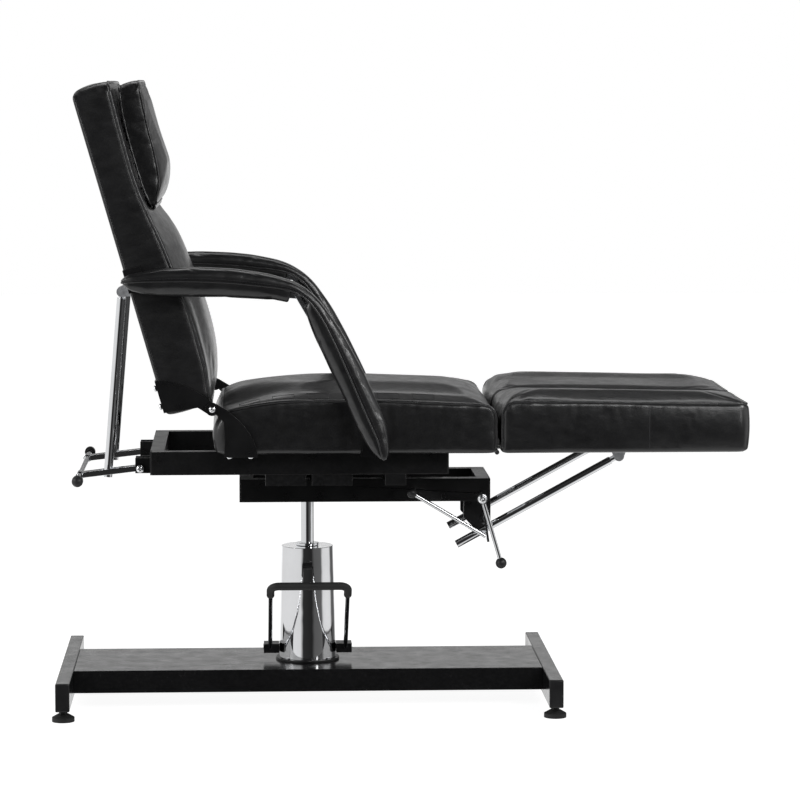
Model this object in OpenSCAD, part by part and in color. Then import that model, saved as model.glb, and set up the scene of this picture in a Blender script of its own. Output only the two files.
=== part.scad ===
// Facial treatment bed: a hydraulic column on an I-shaped floor base carries a seat, a reclining
// backrest with a head pillow, two armrests on parallel links, and two leg rests that drop one by one.
// +X runs towards the foot end, +Y to the patient's left, +Z up. The floor is at Z = 0.

/* [Base] */
// Length of each floor bar, across the bed
bar_len = 620; // [560:10:700]
// Height of a floor bar
bar_h = 60; // [50:1:70]
// Distance from the column to the outer face of a floor bar
base_reach = 540; // [500:10:600]
// Width of the sheet-steel beam between the floor bars
beam_w = 283; // [240:1:320]
// Height of a levelling foot
foot_h = 25; // [20:1:30]

/* [Pump] */
// Diameter of the pump cover at its foot
cover_d = 126; // [120:1:140]
// Height of the pump cover
cover_h = 248; // [240:1:256]
// Diameter of the piston rod
rod_d = 28.5; // [25:0.5:32]

/* [Cushions] */
// Width of the seat and of the backrest
bed_w = 570; // [540:2:600]
// Length of the seat cushion
seat_len = 594; // [580:2:600]
// Length of a leg cushion
leg_len = 533; // [480:1:560]
// Height of a seat or leg cushion at its side
side_h = 110; // [90:1:120]
// Extra height of a cushion in its middle
crown_h = 20; // [10:1:35]
// Gap between the two leg cushions
leg_gap = 14; // [10:1:30]

/* [Backrest] */
// Lean of the backrest from upright
lean = 16; // [10:1:25]
// Length of the backrest along its slope
back_len = 706; // [680:1:730]
// Width of the head pillow
pillow_w = 410; // [340:5:440]

/* [Armrests] */
// Width of an armrest
arm_w = 56; // [50:1:64]

/* [Hidden] */
$fn = 64;
black = "#1b1b1d";
leather = "#232325";
chrome = "#c9ccd1";
plastic = "#2b2b2d";
wood = "#a98457";

fit = 0.05;          // radial clearance of a running fit
wall = 2.5;          // wall of the square tubes
left = 1;            // the patient's left is +Y
right = -1;

// Base
bar_w = 30;
bar_top = foot_h + bar_h;
beam_top = bar_top - 2;
beam_h = 49;
beam_wall = 3;
foot_r = 24;
foot_in = 32;        // from a bar's end to the middle of its foot

// Pump; heights are above the floor
ring_h = 5;
ring_r = cover_d / 2 + 7;
cover_z = beam_top + ring_h;
cover_top_r = cover_d / 2 - 6;
pump_r = 46;
pump_top = cover_z + cover_h;
pump_bore_r = 21;
piston_z = 212;      // underside of the piston head with the bed at its middle height
head_h = 18;
axle_z = 110;
axle_r = 6;

// Foot pedal
pedal_x = 83;        // from the column to each pedal rod
grip_y = -237;
grip_z = 280;
pedal_r = 4.75;
sleeve_r = 8.5;
bend_r = 18;

// Frames
lower_z = 445;
rail_h = 50;
rail_w = 30;
lower_top = lower_z + rail_h;
upper_z = 519;
upper_top = upper_z + rail_h;
lower_y = 108;       // outer faces of the lower frame
upper_y = 224;
lower_x = [-149, 397];
upper_x = [-338.5, 299.5];
plug_t = 3;

// Seat
board_t = 12;
board_in = 14;       // the boards stop short of the cushion edges
foot_t = 4;          // thickness of the feet that are bolted under a board
under = upper_top - foot_t;
soft_z = upper_top + 4;
seat_x1 = 398;
seat_x0 = seat_x1 - seat_len;
half_w = bed_w / 2;
crown_in = 60;

// Backrest, drawn upright about its hinge: x is forwards, z is along the slope
hinge_x = -205;
hinge_z = 667;
back_u0 = 14;
back_v0 = -93;       // rear of the back cushion, seen from the hinge
back_board_t = 12;
plate_y = half_w + 1.5;
plate_t = 5;
pin_r = 6;

// Armrests; the four pivots make a parallelogram
arm_y0 = half_w + 20;
arm_b = [-364, 941];
arm_c = [-20, 914];
arm_d = [hinge_x + arm_c[0] - arm_b[0], hinge_z + arm_c[1] - arm_b[1]];
arm_len = norm(arm_c - arm_b);
strut_len = norm(arm_c - arm_d);
arm_tilt = atan((arm_b[1] - arm_c[1]) / (arm_c[0] - arm_b[0]));
strut_tilt = atan((arm_c[0] - arm_d[0]) / (arm_c[1] - arm_d[1]));
hub_r = 27;
bar_y = arm_y0 + 21;
flat_w = 24;
flat_t = 6;
stud_r = 5;

// Back rods and the release handle
rod_y = 162;
back_rod_r = 9.5;
rod_len = 400;
rod_top = [-398, 908];
rod_hole = [-430, 521];
handle_pivot = [-361, 529];
handle_len = 130;
handle_tilt = 6.6;
handle_w = 30;
handle_t = 12;
slot_mid = 66;
slot_half = 13;
knob_r = 12;
handle_half = 272;
eye_w = 14;         // width and radius of the eye at a rod's upper end
eye_r = 10;
neck_r = 6.5;       // a rod is thinner just below its eye
ear_t = 5;          // thickness and radius of each ear of a fork
ear_r = 11;
fork_pin_r = 4;
fork_half = 28;     // half the width of a fork's foot
cross_r = 6.5;      // the release handle's crossbar

// Leg rests, their hinges, rods and locks
leg_x0 = 407;
leg_x1 = leg_x0 + leg_len;
leg_y = (half_w + leg_gap / 2) / 2;
hinge_pin = [402.5, 565];
knuckle_r = 5;
leg_rod_y = 150;
leg_rod_r = 8.5;
leg_rod_top = [672, 548];
guide = [384, 391];
lock_right_axis = [384, 399];
lock_left_axis = [374, 460];
lever_r = 4.5;
shaft_r = 6;
lever_left_end = [415, 320];
lever_right_end = [223, 472];

// The origin is on the floor, midway between the rear feet and the ends of the leg rests
mid_x = (leg_x1 - base_reach + bar_w / 2 - foot_r) / 2;

module place() translate([-mid_x, 0, 0]) children();

// Both sides of the bed; side() turns a +Y shape into the shape of one side
module side(s) mirror([0, s < 0 ? 1 : 0, 0]) children();
module both() for (s = [left, right]) side(s) children();

// A block between two corners
module block(a, b) translate(a) cube(b - a);

// A cylinder along Y from y0 to y1 at [x, z]
module bar_along_y(p, r, y0, y1) translate([p[0], y1, p[1]]) rotate([90, 0, 0]) cylinder(r = r, h = y1 - y0);

// An outline in the XZ plane, extruded from y0 to y1
module sheet_xz(y0, y1) translate([0, y1, 0]) rotate([90, 0, 0]) linear_extrude(y1 - y0) children();

// A round rod between two points in space
module rod(a, b, r) {
    d = b - a;
    translate(a) rotate([0, acos(d[2] / norm(d)), atan2(d[1], d[0])]) cylinder(r = r, h = norm(d));
}

// The same, in the plane at y
module rod_xz(a, b, y, r) rod([a[0], y, a[1]], [b[0], y, b[1]], r);

// A square tube along X or along Y
module tube_x(a, b) difference() {
    block(a, b);
    block([a[0] - 1, a[1] + wall, a[2] + wall], [b[0] + 1, b[1] - wall, b[2] - wall]);
}
module tube_y(a, b) difference() {
    block(a, b);
    block([a[0] + wall, a[1] - 1, a[2] + wall], [b[0] - wall, b[1] + 1, b[2] - wall]);
}

// Four round corners of a flat pad that stands on the XY plane
module corners(a, b, r, h) for (x = [a[0] + r, b[0] - r], y = [a[1] + r, b[1] - r])
    translate([x, y, 0]) cylinder(r = r, h = h, $fn = 32);

// A cushion: upright sides with round corners, then a crowned top
module cushion(a, b, z0, h, crown, inset, r = 16) hull() {
    translate([0, 0, z0 + 6]) corners(a, b, r, h - 12);
    translate([0, 0, z0]) corners(a + [4, 4], b - [4, 4], r, h);
    translate([0, 0, z0 + h + crown - 1]) corners(a + [inset, inset], b - [inset, inset], r, 1);
}

module at_back() translate([hinge_x, 0, hinge_z]) rotate([0, -lean, 0]) children();
// A pad that lies against the backrest's slope: a and b are [u, y] corners, v0 to v1 its depth
module back_pad(a, b, v0, v1, r) translate([v0, 0, 0]) rotate([0, 90, 0]) mirror([1, 0, 0])
    corners(a, b, r, v1 - v0);
module at_arm() translate([arm_c[0], 0, arm_c[1]]) rotate([0, arm_tilt, 0]) children();
module at_strut() translate([arm_d[0], 0, arm_d[1]]) rotate([0, strut_tilt, 0]) children();

// ---- Base ----

module base_beam() color(black) place() difference() {
    x = base_reach - bar_w;
    block([-x, -beam_w / 2, beam_top - beam_h], [x, beam_w / 2, beam_top]);
    block([-x - 1, -beam_w / 2 + beam_wall, beam_top - beam_h - 1], [x + 1, beam_w / 2 - beam_wall,
        beam_top - beam_wall]);
    for (a = [45:90:315]) rotate([0, 0, a]) translate([ring_r - 5, 0, 0]) cylinder(r = 3, h = bar_top);
}

module base_bars() color(black) place() for (s = [-1, 1]) {
    x0 = s > 0 ? base_reach - bar_w : -base_reach;
    difference() {
        tube_y([x0, -bar_len / 2 + 3, foot_h], [x0 + bar_w, bar_len / 2 - 3, bar_top]);
        for (t = [-1, 1]) translate([x0 + bar_w / 2, t * (bar_len / 2 - foot_in), foot_h - 1])
            cylinder(r = 5, h = wall + 2);
    }
}

module bar_end_caps() color(plastic) place() for (s = [-1, 1], t = [-1, 1]) {
    x = s * (base_reach - bar_w / 2);
    side(t) {
        block([x - bar_w / 2, bar_len / 2 - 3, foot_h], [x + bar_w / 2, bar_len / 2, bar_top]);
        block([x - bar_w / 2 + wall, bar_len / 2 - 14, foot_h + wall],
            [x + bar_w / 2 - wall, bar_len / 2 - 2, bar_top - wall]);
    }
}

module levelling_feet() color(plastic) place() for (s = [-1, 1], t = [-1, 1])
    translate([s * (base_reach - bar_w / 2), t * (bar_len / 2 - foot_in), 0]) {
        cylinder(r = foot_r, h = 9);
        translate([0, 0, 9]) cylinder(r1 = foot_r, r2 = 12, h = 7);
        translate([0, 0, 16]) cylinder(r = 9, h = foot_h - 16, $fn = 6);
        translate([0, 0, foot_h - 1]) cylinder(r = 5, h = 24);
    }

// ---- Pump ----

module pump_base_ring() color(black) place() difference() {
    translate([0, 0, beam_top]) cylinder(r = ring_r, h = ring_h);
    translate([0, 0, beam_top - 1]) cylinder(r = pump_bore_r, h = ring_h + 2);
    for (a = [45:90:315]) rotate([0, 0, a]) translate([ring_r - 5, 0, beam_top - 1])
        cylinder(r = 3, h = ring_h + 2);
}

module pump_bolts() color(chrome) place() for (a = [45:90:315])
    rotate([0, 0, a]) translate([ring_r - 5, 0, 0]) {
        translate([0, 0, beam_top - beam_wall - 4]) cylinder(r = 3, h = beam_wall + ring_h + 5);
        translate([0, 0, cover_z]) cylinder(r = 4.5, h = 3, $fn = 6);
    }

module pump_body() color(plastic) place() difference() {
    translate([0, 0, cover_z]) cylinder(r = pump_r, h = cover_h - 10);
    translate([0, 0, axle_z + 14]) cylinder(r = pump_bore_r, h = cover_h);
    rotate([90, 0, 90]) translate([0, axle_z, -pump_r - 1]) cylinder(r = axle_r + fit, h = 2 * pump_r + 2);
}

module pump_cover() color(chrome) place() difference() {
    translate([0, 0, cover_z]) cylinder(r1 = cover_d / 2, r2 = cover_top_r, h = cover_h);
    translate([0, 0, cover_z - 1]) cylinder(r1 = cover_d / 2 - 3, r2 = cover_top_r - 3, h = cover_h - 3);
    translate([0, 0, pump_top - 5]) cylinder(r = 22, h = 6);
    rotate([90, 0, 90]) translate([0, axle_z, -cover_d]) cylinder(r = axle_r + 2, h = 2 * cover_d);
}

module pump_seal() color(chrome) place() difference() {
    union() {
        translate([0, 0, pump_top - 10]) cylinder(r = 21.5, h = 12);
        translate([0, 0, pump_top + 0.5]) cylinder(r = 25, h = 6);
    }
    translate([0, 0, pump_top - 11]) cylinder(r = rod_d / 2 + fit, h = 20);
}

module piston_rod() color(chrome) place() {
    translate([0, 0, piston_z]) cylinder(r = pump_bore_r - fit, h = head_h);
    translate([0, 0, piston_z]) cylinder(r = rod_d / 2, h = lower_top - 5 - piston_z);
}

// ---- Foot pedal ----

module pedal_axle() color(chrome) place() rotate([90, 0, 90]) translate([0, axle_z, -98])
    cylinder(r = axle_r, h = 196);

// The pedal's bent rod, drawn in its own plane: x across, y up the slope from the blocks
pedal_rise = atan((grip_z - axle_z) / (-26 - grip_y));
pedal_reach = norm([grip_z - axle_z, -26 - grip_y]);
module at_pedal() place() translate([0, -26, axle_z]) rotate([180 - pedal_rise, 0, 0]) children();
module pedal_leg(r, y0, y1) for (s = [-1, 1]) translate([s * pedal_x, y0, 0]) rotate([-90, 0, 0])
    cylinder(r = r, h = y1 - y0);
module pedal_top(r) {
    for (s = [0, 1]) mirror([s, 0, 0]) translate([pedal_x - bend_r, pedal_reach - bend_r, 0])
        rotate_extrude(angle = 90) translate([bend_r, 0]) circle(r = r);
    translate([-pedal_x + bend_r, pedal_reach, 0]) rotate([0, 90, 0])
        cylinder(r = r, h = 2 * (pedal_x - bend_r));
}

module pedal_blocks() color(black) difference() {
    place() for (s = [-1, 1]) block([s * 80 - 17, -30, axle_z - 10], [s * 80 + 17, 14, axle_z + 10]);
    place() rotate([90, 0, 90]) translate([0, axle_z, -100]) cylinder(r = axle_r, h = 200);
    at_pedal() pedal_leg(pedal_r, -1, pedal_reach - bend_r);
}

module pedal_bail() color(chrome) at_pedal() {
    pedal_leg(pedal_r, 0, pedal_reach - bend_r);
    pedal_top(pedal_r);
}

module pedal_sleeve() color(plastic) at_pedal() difference() {
    union() {
        pedal_leg(sleeve_r, pedal_reach - bend_r - 20, pedal_reach - bend_r);
        pedal_top(sleeve_r);
    }
    pedal_leg(pedal_r, 0, pedal_reach - bend_r);
    pedal_top(pedal_r);
}

// ---- Seat frame ----

module column_socket() color(black) place() difference() {
    union() {
        block([-78, -lower_y + rail_w, lower_z], [78, lower_y - rail_w, lower_z + 10]);
        translate([0, 0, lower_z]) cylinder(r = 30, h = lower_top - lower_z);
    }
    translate([0, 0, lower_z - 1]) cylinder(r = rod_d / 2 + fit, h = lower_top - lower_z - 3.8);
}

module lower_side_rails() color(black) place() difference() {
    both() tube_x([lower_x[0] + plug_t, lower_y - rail_w, lower_z],
        [lower_x[1] - plug_t, lower_y, lower_top]);
    bar_along_y(lock_left_axis, shaft_r + fit, -lower_y - 1, lower_y + 1);
}

module lower_cross_rails() color(black) place() for (x = [lower_x[0], lower_x[1] - rail_w])
    difference() {
        tube_y([x, -lower_y + rail_w, lower_z], [x + rail_w, lower_y - rail_w, lower_top]);
        bar_along_y(lock_left_axis, shaft_r + 2, -lower_y, lower_y);
    }

module upper_side_rails() color(black) place() both()
    tube_x([upper_x[0] + plug_t, upper_y - rail_w, upper_z], [upper_x[1] - plug_t, upper_y, upper_top]);

module upper_cross_rails() color(black) place() for (x = [upper_x[0], upper_x[1] - rail_w])
    tube_y([x, -upper_y + rail_w, upper_z], [x + rail_w, upper_y - rail_w, upper_top]);

// Plastic plugs in the open ends of the four long rails
module plug(x, inwards, y, z) {
    x0 = inwards > 0 ? x : x - plug_t;
    block([x0, y - rail_w, z], [x0 + plug_t, y, z + rail_h]);
    x1 = inwards > 0 ? x + plug_t : x - plug_t - 10;
    block([x1, y - rail_w + wall, z + wall], [x1 + 10, y - wall, z + rail_h - wall]);
}
module rail_end_plugs() color(plastic) place() both() for (i = [0, 1]) {
    plug(upper_x[i], 1 - 2 * i, upper_y, upper_z);
    plug(lower_x[i], 1 - 2 * i, lower_y, lower_z);
}

module cross_plates() color(black) place() for (x = [[-93, -6], [6, 93], [163, 208]])
    block([x[0], -upper_y, lower_top], [x[1], upper_y, upper_z]);

module seat_board() color(wood) place()
    block([seat_x0 + board_in, -half_w + board_in, upper_top],
        [seat_x1 - board_in, half_w - board_in, upper_top + board_t]);

module seat_cushion() color(leather) place() difference() {
    cushion([seat_x0, -half_w], [seat_x1, half_w], soft_z, side_h, crown_h, crown_in);
    block([seat_x0 + board_in, -half_w + board_in, soft_z - 1],
        [seat_x1 - board_in, half_w - board_in, upper_top + board_t]);
    // the rear top edge leaves room for the backrest
    translate([seat_x0, 0, hinge_z - 20]) rotate([0, 30, 0])
        block([-80, -half_w - 1, 0], [0, half_w + 1, 120]);
}

// Lower half of each backrest hinge: a curved side plate with a foot under the seat board
module seat_hinge_plates() color(black) place() both() difference() {
    union() {
        sheet_xz(plate_y + plate_t + 0.5, plate_y + 2 * plate_t + 0.5) {
            polygon([[hinge_x + 8, hinge_z - 11], [-181, 640], [-178, 606], [-180, 565], [-110, 565],
                [-112, 585], [-127, 617], [-146, 641], [-172, 664], [hinge_x + 8, hinge_z + 12]]);
            translate([hinge_x, hinge_z]) circle(r = 14);
        }
        block([-180, half_w - 40, under], [-110, plate_y + 2 * plate_t + 0.5, upper_top]);
        for (x = [-169, -124]) translate([x, half_w - 25, upper_top - 8]) cylinder(r = 6, h = 5, $fn = 6);
    }
    bar_along_y([hinge_x, hinge_z], pin_r, plate_y, plate_y + 20);
}

module pivot_bolts() color(chrome) place() both() {
    bar_along_y([hinge_x, hinge_z], pin_r, plate_y - 1, plate_y + 2 * plate_t + 2);
    bar_along_y([hinge_x, hinge_z], 10, plate_y + 2 * plate_t + 0.5, plate_y + 2 * plate_t + 5);
    bar_along_y(handle_pivot, 5, rod_y - 23, rod_y + 24);
    bar_along_y(handle_pivot, 9, rod_y + 21, rod_y + 28);
}

module handle_brackets() color(black) place() both() for (y = [rod_y - 21, rod_y + 16]) difference() {
    block([upper_x[0] - 33, y, upper_z], [upper_x[0], y + ear_t, upper_z + 33]);
    bar_along_y(handle_pivot, 5, y - 1, y + ear_t + 1);
}

module leg_lock_bracket() color(black) place() difference() {
    union() {
        block([342, -62, lower_z - 6], [397, 62, lower_z]);
        both() sheet_xz(56, 62) polygon([[342, lower_z], [342, 404], [365, 379], [374, 373], [401, 373],
            [401, lower_z - 3], [397, lower_z]]);
    }
    bar_along_y(lock_right_axis, shaft_r + fit, -70, -50);
}

// A plate beside the seat that carries the lower armrest pivot
module strut_brackets() color(black) place() both() {
    sheet_xz(plate_y, plate_y + plate_t) {
        polygon([[arm_d[0] - 30, under], [arm_d[0] + 30, under], [arm_d[0] + 14, arm_d[1]],
            [arm_d[0] - 14, arm_d[1]]]);
        translate(arm_d) circle(r = 14);
    }
    block([arm_d[0] - 30, half_w - 40, under], [arm_d[0] + 30, plate_y + plate_t, upper_top]);
    bar_along_y(arm_d, pin_r, plate_y, bar_y + 2 * flat_t + 5);
}

// Seat half of the leg hinges, with the pins
module seat_hinge_leaves() color(black) place() both() {
    for (s = [[-80, -20], [20, 80]]) {
        bar_along_y(hinge_pin, knuckle_r, leg_y + s[0], leg_y + s[1]);
        block([seat_x1 - 44, leg_y + s[0], upper_top - 3], [hinge_pin[0], leg_y + s[1], upper_top]);
    }
    bar_along_y(hinge_pin, 3, leg_y - 80, leg_y + 80);
}

// ---- Backrest ----

module back_board() color(wood) place() at_back()
    block([back_v0 - 3, -half_w + board_in, back_u0 + board_in],
        [back_v0 - 3 + back_board_t, half_w - board_in, back_u0 + back_len - board_in]);

module back_cushion() color(leather) place() at_back() difference() {
    w = half_w;
    u1 = back_u0 + back_len;
    union() {
        hull() {
            back_pad([back_u0, -w], [330, w], back_v0, 6, 16);
            back_pad([60, -w + crown_in], [270, w - crown_in], 0, 36, 16);
        }
        hull() {
            back_pad([200, -w], [330, w], back_v0, 8, 16);
            back_pad([430, -w], [470, w], back_v0, -20, 16);
            back_pad([240, -w + crown_in], [340, w - crown_in], 0, 28, 16);
            back_pad([430, -w + crown_in], [450, w - crown_in], -20, -6, 9);
        }
        hull() {
            back_pad([400, -w], [u1, w], back_v0, -20, 20);
            back_pad([430, -w + crown_in], [u1 - crown_in, w - crown_in], -20, -6, 20);
        }
    }
    block([back_v0 - 1, -half_w + board_in, back_u0 + board_in],
        [back_v0 - 3 + back_board_t, half_w - board_in, u1 - board_in]);
}

module headrest_strips() color(plastic) place() at_back() both()
    block([-6, 60, 500], [-4, 110, 660]);

module headrest_pillow() color(leather) place() at_back() hull() {
    back_pad([444, -pillow_w / 2], [706, pillow_w / 2], -4, 26, 16);
    back_pad([480, -pillow_w / 2 + 24], [696, pillow_w / 2 - 24], -4, 45, 16);
}

// Upper half of each backrest hinge, with a flange bolted to the back board
module back_hinge_plates() color(black) place() at_back() both() difference() {
    union() {
        sheet_xz(plate_y, plate_y + plate_t) {
            polygon([[-97, 89], [-75, 84], [-43, 65], [-22, 46], [-7, 28], [13, 4], [5, -12], [-14, -5],
                [-28, 11], [-97, 20]]);
            circle(r = 13);
        }
        block([-100, half_w - 40, 20], [-96, plate_y + plate_t, 90]);
        for (u = [34, 74]) translate([-103, half_w - 8, u]) rotate([0, 90, 0])
            cylinder(r = 6, h = 4, $fn = 6);
    }
    bar_along_y([0, 0], pin_r + fit, plate_y - 1, plate_y + plate_t + 1);
}

// Where the rod pivot lies on the backrest, as [forwards, up the slope]
rod_rel = rod_top - [hinge_x, hinge_z];
rod_v = rod_rel[0] * cos(lean) + rod_rel[1] * sin(lean);
rod_u = -rod_rel[0] * sin(lean) + rod_rel[1] * cos(lean);

module rod_brackets() color(black) place() at_back() both() {
    block([back_v0 - 6, rod_y - fork_half, rod_u - 26], [back_v0 - 3, rod_y + fork_half, rod_u + 26]);
    for (y = [rod_y - eye_w / 2 - ear_t - 0.5, rod_y + eye_w / 2 + 0.5]) sheet_xz(y, y + ear_t) {
        polygon([[back_v0 - 4, rod_u - 16], [back_v0 - 4, rod_u + 16], [rod_v, rod_u + ear_r],
            [rod_v, rod_u - ear_r]]);
        translate([rod_v, rod_u]) circle(r = ear_r);
    }
    bar_along_y([rod_v, rod_u], fork_pin_r, rod_y - 14, rod_y + 14);
}

arm_rel = arm_b - [hinge_x, hinge_z];
arm_v = arm_rel[0] * cos(lean) + arm_rel[1] * sin(lean);
arm_u = -arm_rel[0] * sin(lean) + arm_rel[1] * cos(lean);

// A side plate on the back board with the stud of the upper armrest pivot
module arm_pivot_pins() color(black) place() at_back() both() {
    block([back_v0 - 3, half_w + 0.5, arm_u - 25], [arm_v + 16, half_w + 5.5, arm_u + 25]);
    block([back_v0 - 6, half_w - 40, arm_u - 25], [back_v0 - 3, half_w + 5.5, arm_u + 25]);
    bar_along_y([arm_v, arm_u], pin_r, half_w + 5, bar_y + flat_t + 1);
}

// ---- Armrests ----

// A flat bar with round ends between two pivots on the local X axis
module flat_bar(x0, x1, y0, y1) {
    block([x0, y0, -flat_w / 2], [x1, y1, flat_w / 2]);
    for (x = [x0, x1]) bar_along_y([x, 0], flat_w / 2, y0, y1);
}
module arm_bar_shape() {
    flat_bar(-arm_len, 0, bar_y, bar_y + flat_t);
    bar_along_y([0, 0], stud_r, bar_y, bar_y + 2 * flat_t + 4);
}
module arm_bar(s) color(chrome) place() side(s) at_arm() difference() {
    arm_bar_shape();
    bar_along_y([-arm_len, 0], pin_r + 1, bar_y - 1, bar_y + flat_t + 1);
}
module arm_pad(s) color(leather) place() side(s) at_arm() difference() {
    union() {
        sheet_xz(arm_y0, arm_y0 + arm_w) {
            circle(r = hub_r);
            polygon([[0, -hub_r], [0, hub_r], [-60, 32], [-200, 34], [-arm_len - 24, 22],
                [-arm_len - 34, 4], [-arm_len - 30, -14], [-arm_len, -24], [-60, -25]]);
        }
    }
    arm_bar_shape();
    bar_along_y([-arm_len, 0], pin_r + 3, arm_y0 - 1, bar_y + flat_t + 3);
    // room for the end of the link bar, which turns beside the arm bar
    bar_along_y([0, 0], hub_r + 2, bar_y + flat_t + 0.5, bar_y + 2 * flat_t + 4);
}
module strut_bar(s) color(chrome) place() side(s) at_strut() difference() {
    rotate([0, -90, 0]) flat_bar(0, strut_len, bar_y + flat_t + 1, bar_y + 2 * flat_t + 1);
    bar_along_y([0, 0], pin_r + fit, bar_y, bar_y + 3 * flat_t);
    bar_along_y([0, strut_len], stud_r + fit, bar_y, bar_y + 3 * flat_t);
}
module strut_pad(s) color(leather) place() side(s) at_strut() difference() {
    sheet_xz(arm_y0, arm_y0 + arm_w) polygon([[-24, 18], [-25, strut_len - 18], [hub_r - 1, strut_len - 5],
        [32, strut_len - 50], [33, -40], [26, -62], [10, -76], [-6, -72], [-16, -50], [-24, -20]]);
    bar_along_y([0, strut_len], hub_r + 1.2, 0, arm_y0 + arm_w + 1);
    rotate([0, -90, 0]) flat_bar(0, strut_len, bar_y + flat_t + 1, bar_y + 2 * flat_t + 1);
    bar_along_y([0, 0], pin_r + 2, arm_y0 - 1, bar_y + 2 * flat_t + 7);
}

// ---- Back rods and release handle ----

rod_dir = (rod_hole - rod_top) / norm(rod_hole - rod_top);
rod_end = rod_top + rod_len * rod_dir;
rod_neck = rod_top + 14 * rod_dir;

module back_rods() color(chrome) place() both() difference() {
    union() {
        bar_along_y(rod_top, eye_r, rod_y - eye_w / 2, rod_y + eye_w / 2);
        rod_xz(rod_top, rod_neck + 8 * rod_dir, rod_y, neck_r);
        rod_xz(rod_neck, rod_end, rod_y, back_rod_r);
    }
    bar_along_y(rod_top, fork_pin_r + fit, rod_y - 20, rod_y + 20);
}

module at_handle() translate([handle_pivot[0], 0, handle_pivot[1]]) rotate([0, -handle_tilt, 0]) children();

module handle_arms() color(chrome) place() both() at_handle() difference() {
    union() {
        block([-handle_len, rod_y - handle_w / 2, -handle_t / 2], [0, rod_y + handle_w / 2, handle_t / 2]);
        bar_along_y([0, 0], handle_t / 2 + 3, rod_y - handle_w / 2, rod_y + handle_w / 2);
        bar_along_y([-handle_len, 0], 9, rod_y - handle_w / 2, rod_y + handle_w / 2);
    }
    bar_along_y([0, 0], 5 + fit, rod_y - 20, rod_y + 20);
    bar_along_y([-handle_len, 0], cross_r, rod_y - 20, rod_y + 20);
    // the rods run through a long slot
    slot_r = back_rod_r + 1.2;
    for (x = [-slot_mid - slot_half, -slot_mid + slot_half]) translate([x, rod_y, -20])
        cylinder(r = slot_r, h = 40);
    block([-slot_mid - slot_half, rod_y - slot_r, -20], [-slot_mid + slot_half, rod_y + slot_r, 20]);
}

module handle_crossbar() color(chrome) place() at_handle()
    bar_along_y([-handle_len, 0], cross_r, -handle_half - 12, handle_half + 12);

module handle_knobs() color(plastic) place() both() at_handle() difference() {
    union() {
        bar_along_y([-handle_len, 0], knob_r, handle_half, handle_half + 13);
        translate([-handle_len, handle_half + 13, 0]) sphere(r = knob_r);
    }
    bar_along_y([-handle_len, 0], cross_r, handle_half - 1, handle_half + 12);
}

// ---- Leg rests ----

leg_a = [leg_x0, leg_gap / 2];
leg_b = [leg_x1, half_w];

module leg_board(s) color(wood) place() side(s)
    block([leg_a[0] + board_in, leg_a[1] + board_in, upper_top],
        [leg_b[0] - board_in, leg_b[1] - board_in, upper_top + board_t]);

module leg_cushion(s) color(leather) place() side(s) difference() {
    cushion(leg_a, leg_b, soft_z, side_h - 4, crown_h, crown_in);
    block([leg_a[0] + board_in, leg_a[1] + board_in, soft_z - 1],
        [leg_b[0] - board_in, leg_b[1] - board_in, upper_top + board_t]);
}

// Hinge leaf at the seat end, and the forked bracket of the leg rod
module leg_fittings(s) color(black) place() side(s) {
    difference() {
        union() {
            bar_along_y(hinge_pin, knuckle_r, leg_y - 19.5, leg_y + 19.5);
            block([hinge_pin[0], leg_y - 19.5, upper_top - 3], [leg_x0 + 50, leg_y + 19.5, upper_top]);
        }
        bar_along_y(hinge_pin, 3 + fit, leg_y - 30, leg_y + 30);
    }
    block([leg_rod_top[0] - 30, leg_rod_y - fork_half, upper_top - 3],
        [leg_rod_top[0] + 30, leg_rod_y + fork_half, upper_top]);
    for (y = [leg_rod_y - eye_w / 2 - ear_t - 0.5, leg_rod_y + eye_w / 2 + 0.5]) sheet_xz(y, y + ear_t) {
        polygon([[leg_rod_top[0] - 18, upper_top - 2], [leg_rod_top[0] + 18, upper_top - 2],
            [leg_rod_top[0] + ear_r, leg_rod_top[1]], [leg_rod_top[0] - ear_r, leg_rod_top[1]]]);
        translate(leg_rod_top) circle(r = ear_r);
    }
    bar_along_y(leg_rod_top, fork_pin_r, leg_rod_y - 14, leg_rod_y + 14);
}

leg_rod_dir = (guide - leg_rod_top) / norm(guide - leg_rod_top);
leg_rod_neck = leg_rod_top + 20 * leg_rod_dir;
leg_rod_end = leg_rod_top + rod_len * leg_rod_dir;

module leg_rod(s) color(chrome) place() side(s) difference() {
    union() {
        bar_along_y(leg_rod_top, eye_r, leg_rod_y - eye_w / 2, leg_rod_y + eye_w / 2);
        rod_xz(leg_rod_top, leg_rod_neck, leg_rod_y, neck_r);
        rod_xz(leg_rod_neck, leg_rod_end, leg_rod_y, leg_rod_r);
    }
    bar_along_y(leg_rod_top, fork_pin_r + fit, leg_rod_y - 20, leg_rod_y + 20);
}

// The lock plate stands across the rod; its slot lets the rod change angle
plate_tilt = atan((guide[0] - lock_left_axis[0]) / (lock_left_axis[1] - guide[1]));
module lock_plate(z1, y1) translate([guide[0], 0, guide[1]]) rotate([0, -plate_tilt, 0]) difference() {
    block([-2.5, leg_rod_y - 22, -26], [2.5, y1, z1]);
    block([-5, leg_rod_y - 10.5, -15], [5, leg_rod_y + 10.5, 24]);
}

// The hand levers, each from its lock to the middle of its knob
right_lever_y = leg_rod_y + 26;
left_lever_y = leg_rod_y + 36;
module right_lever() side(right) rod([guide[0] - 2, right_lever_y, guide[1] - 14],
    [lever_right_end[0], right_lever_y, lever_right_end[1]], lever_r);
module left_lever() side(right) rod([lock_left_axis[0], left_lever_y, lock_left_axis[1]],
    [lever_left_end[0], left_lever_y, lever_left_end[1]], lever_r);

module leg_lock_right() color(chrome) place() {
    side(right) lock_plate(38, leg_rod_y + 30);
    side(right) bar_along_y(lock_right_axis, shaft_r, 54, leg_rod_y - 14);
    right_lever();
}

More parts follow.
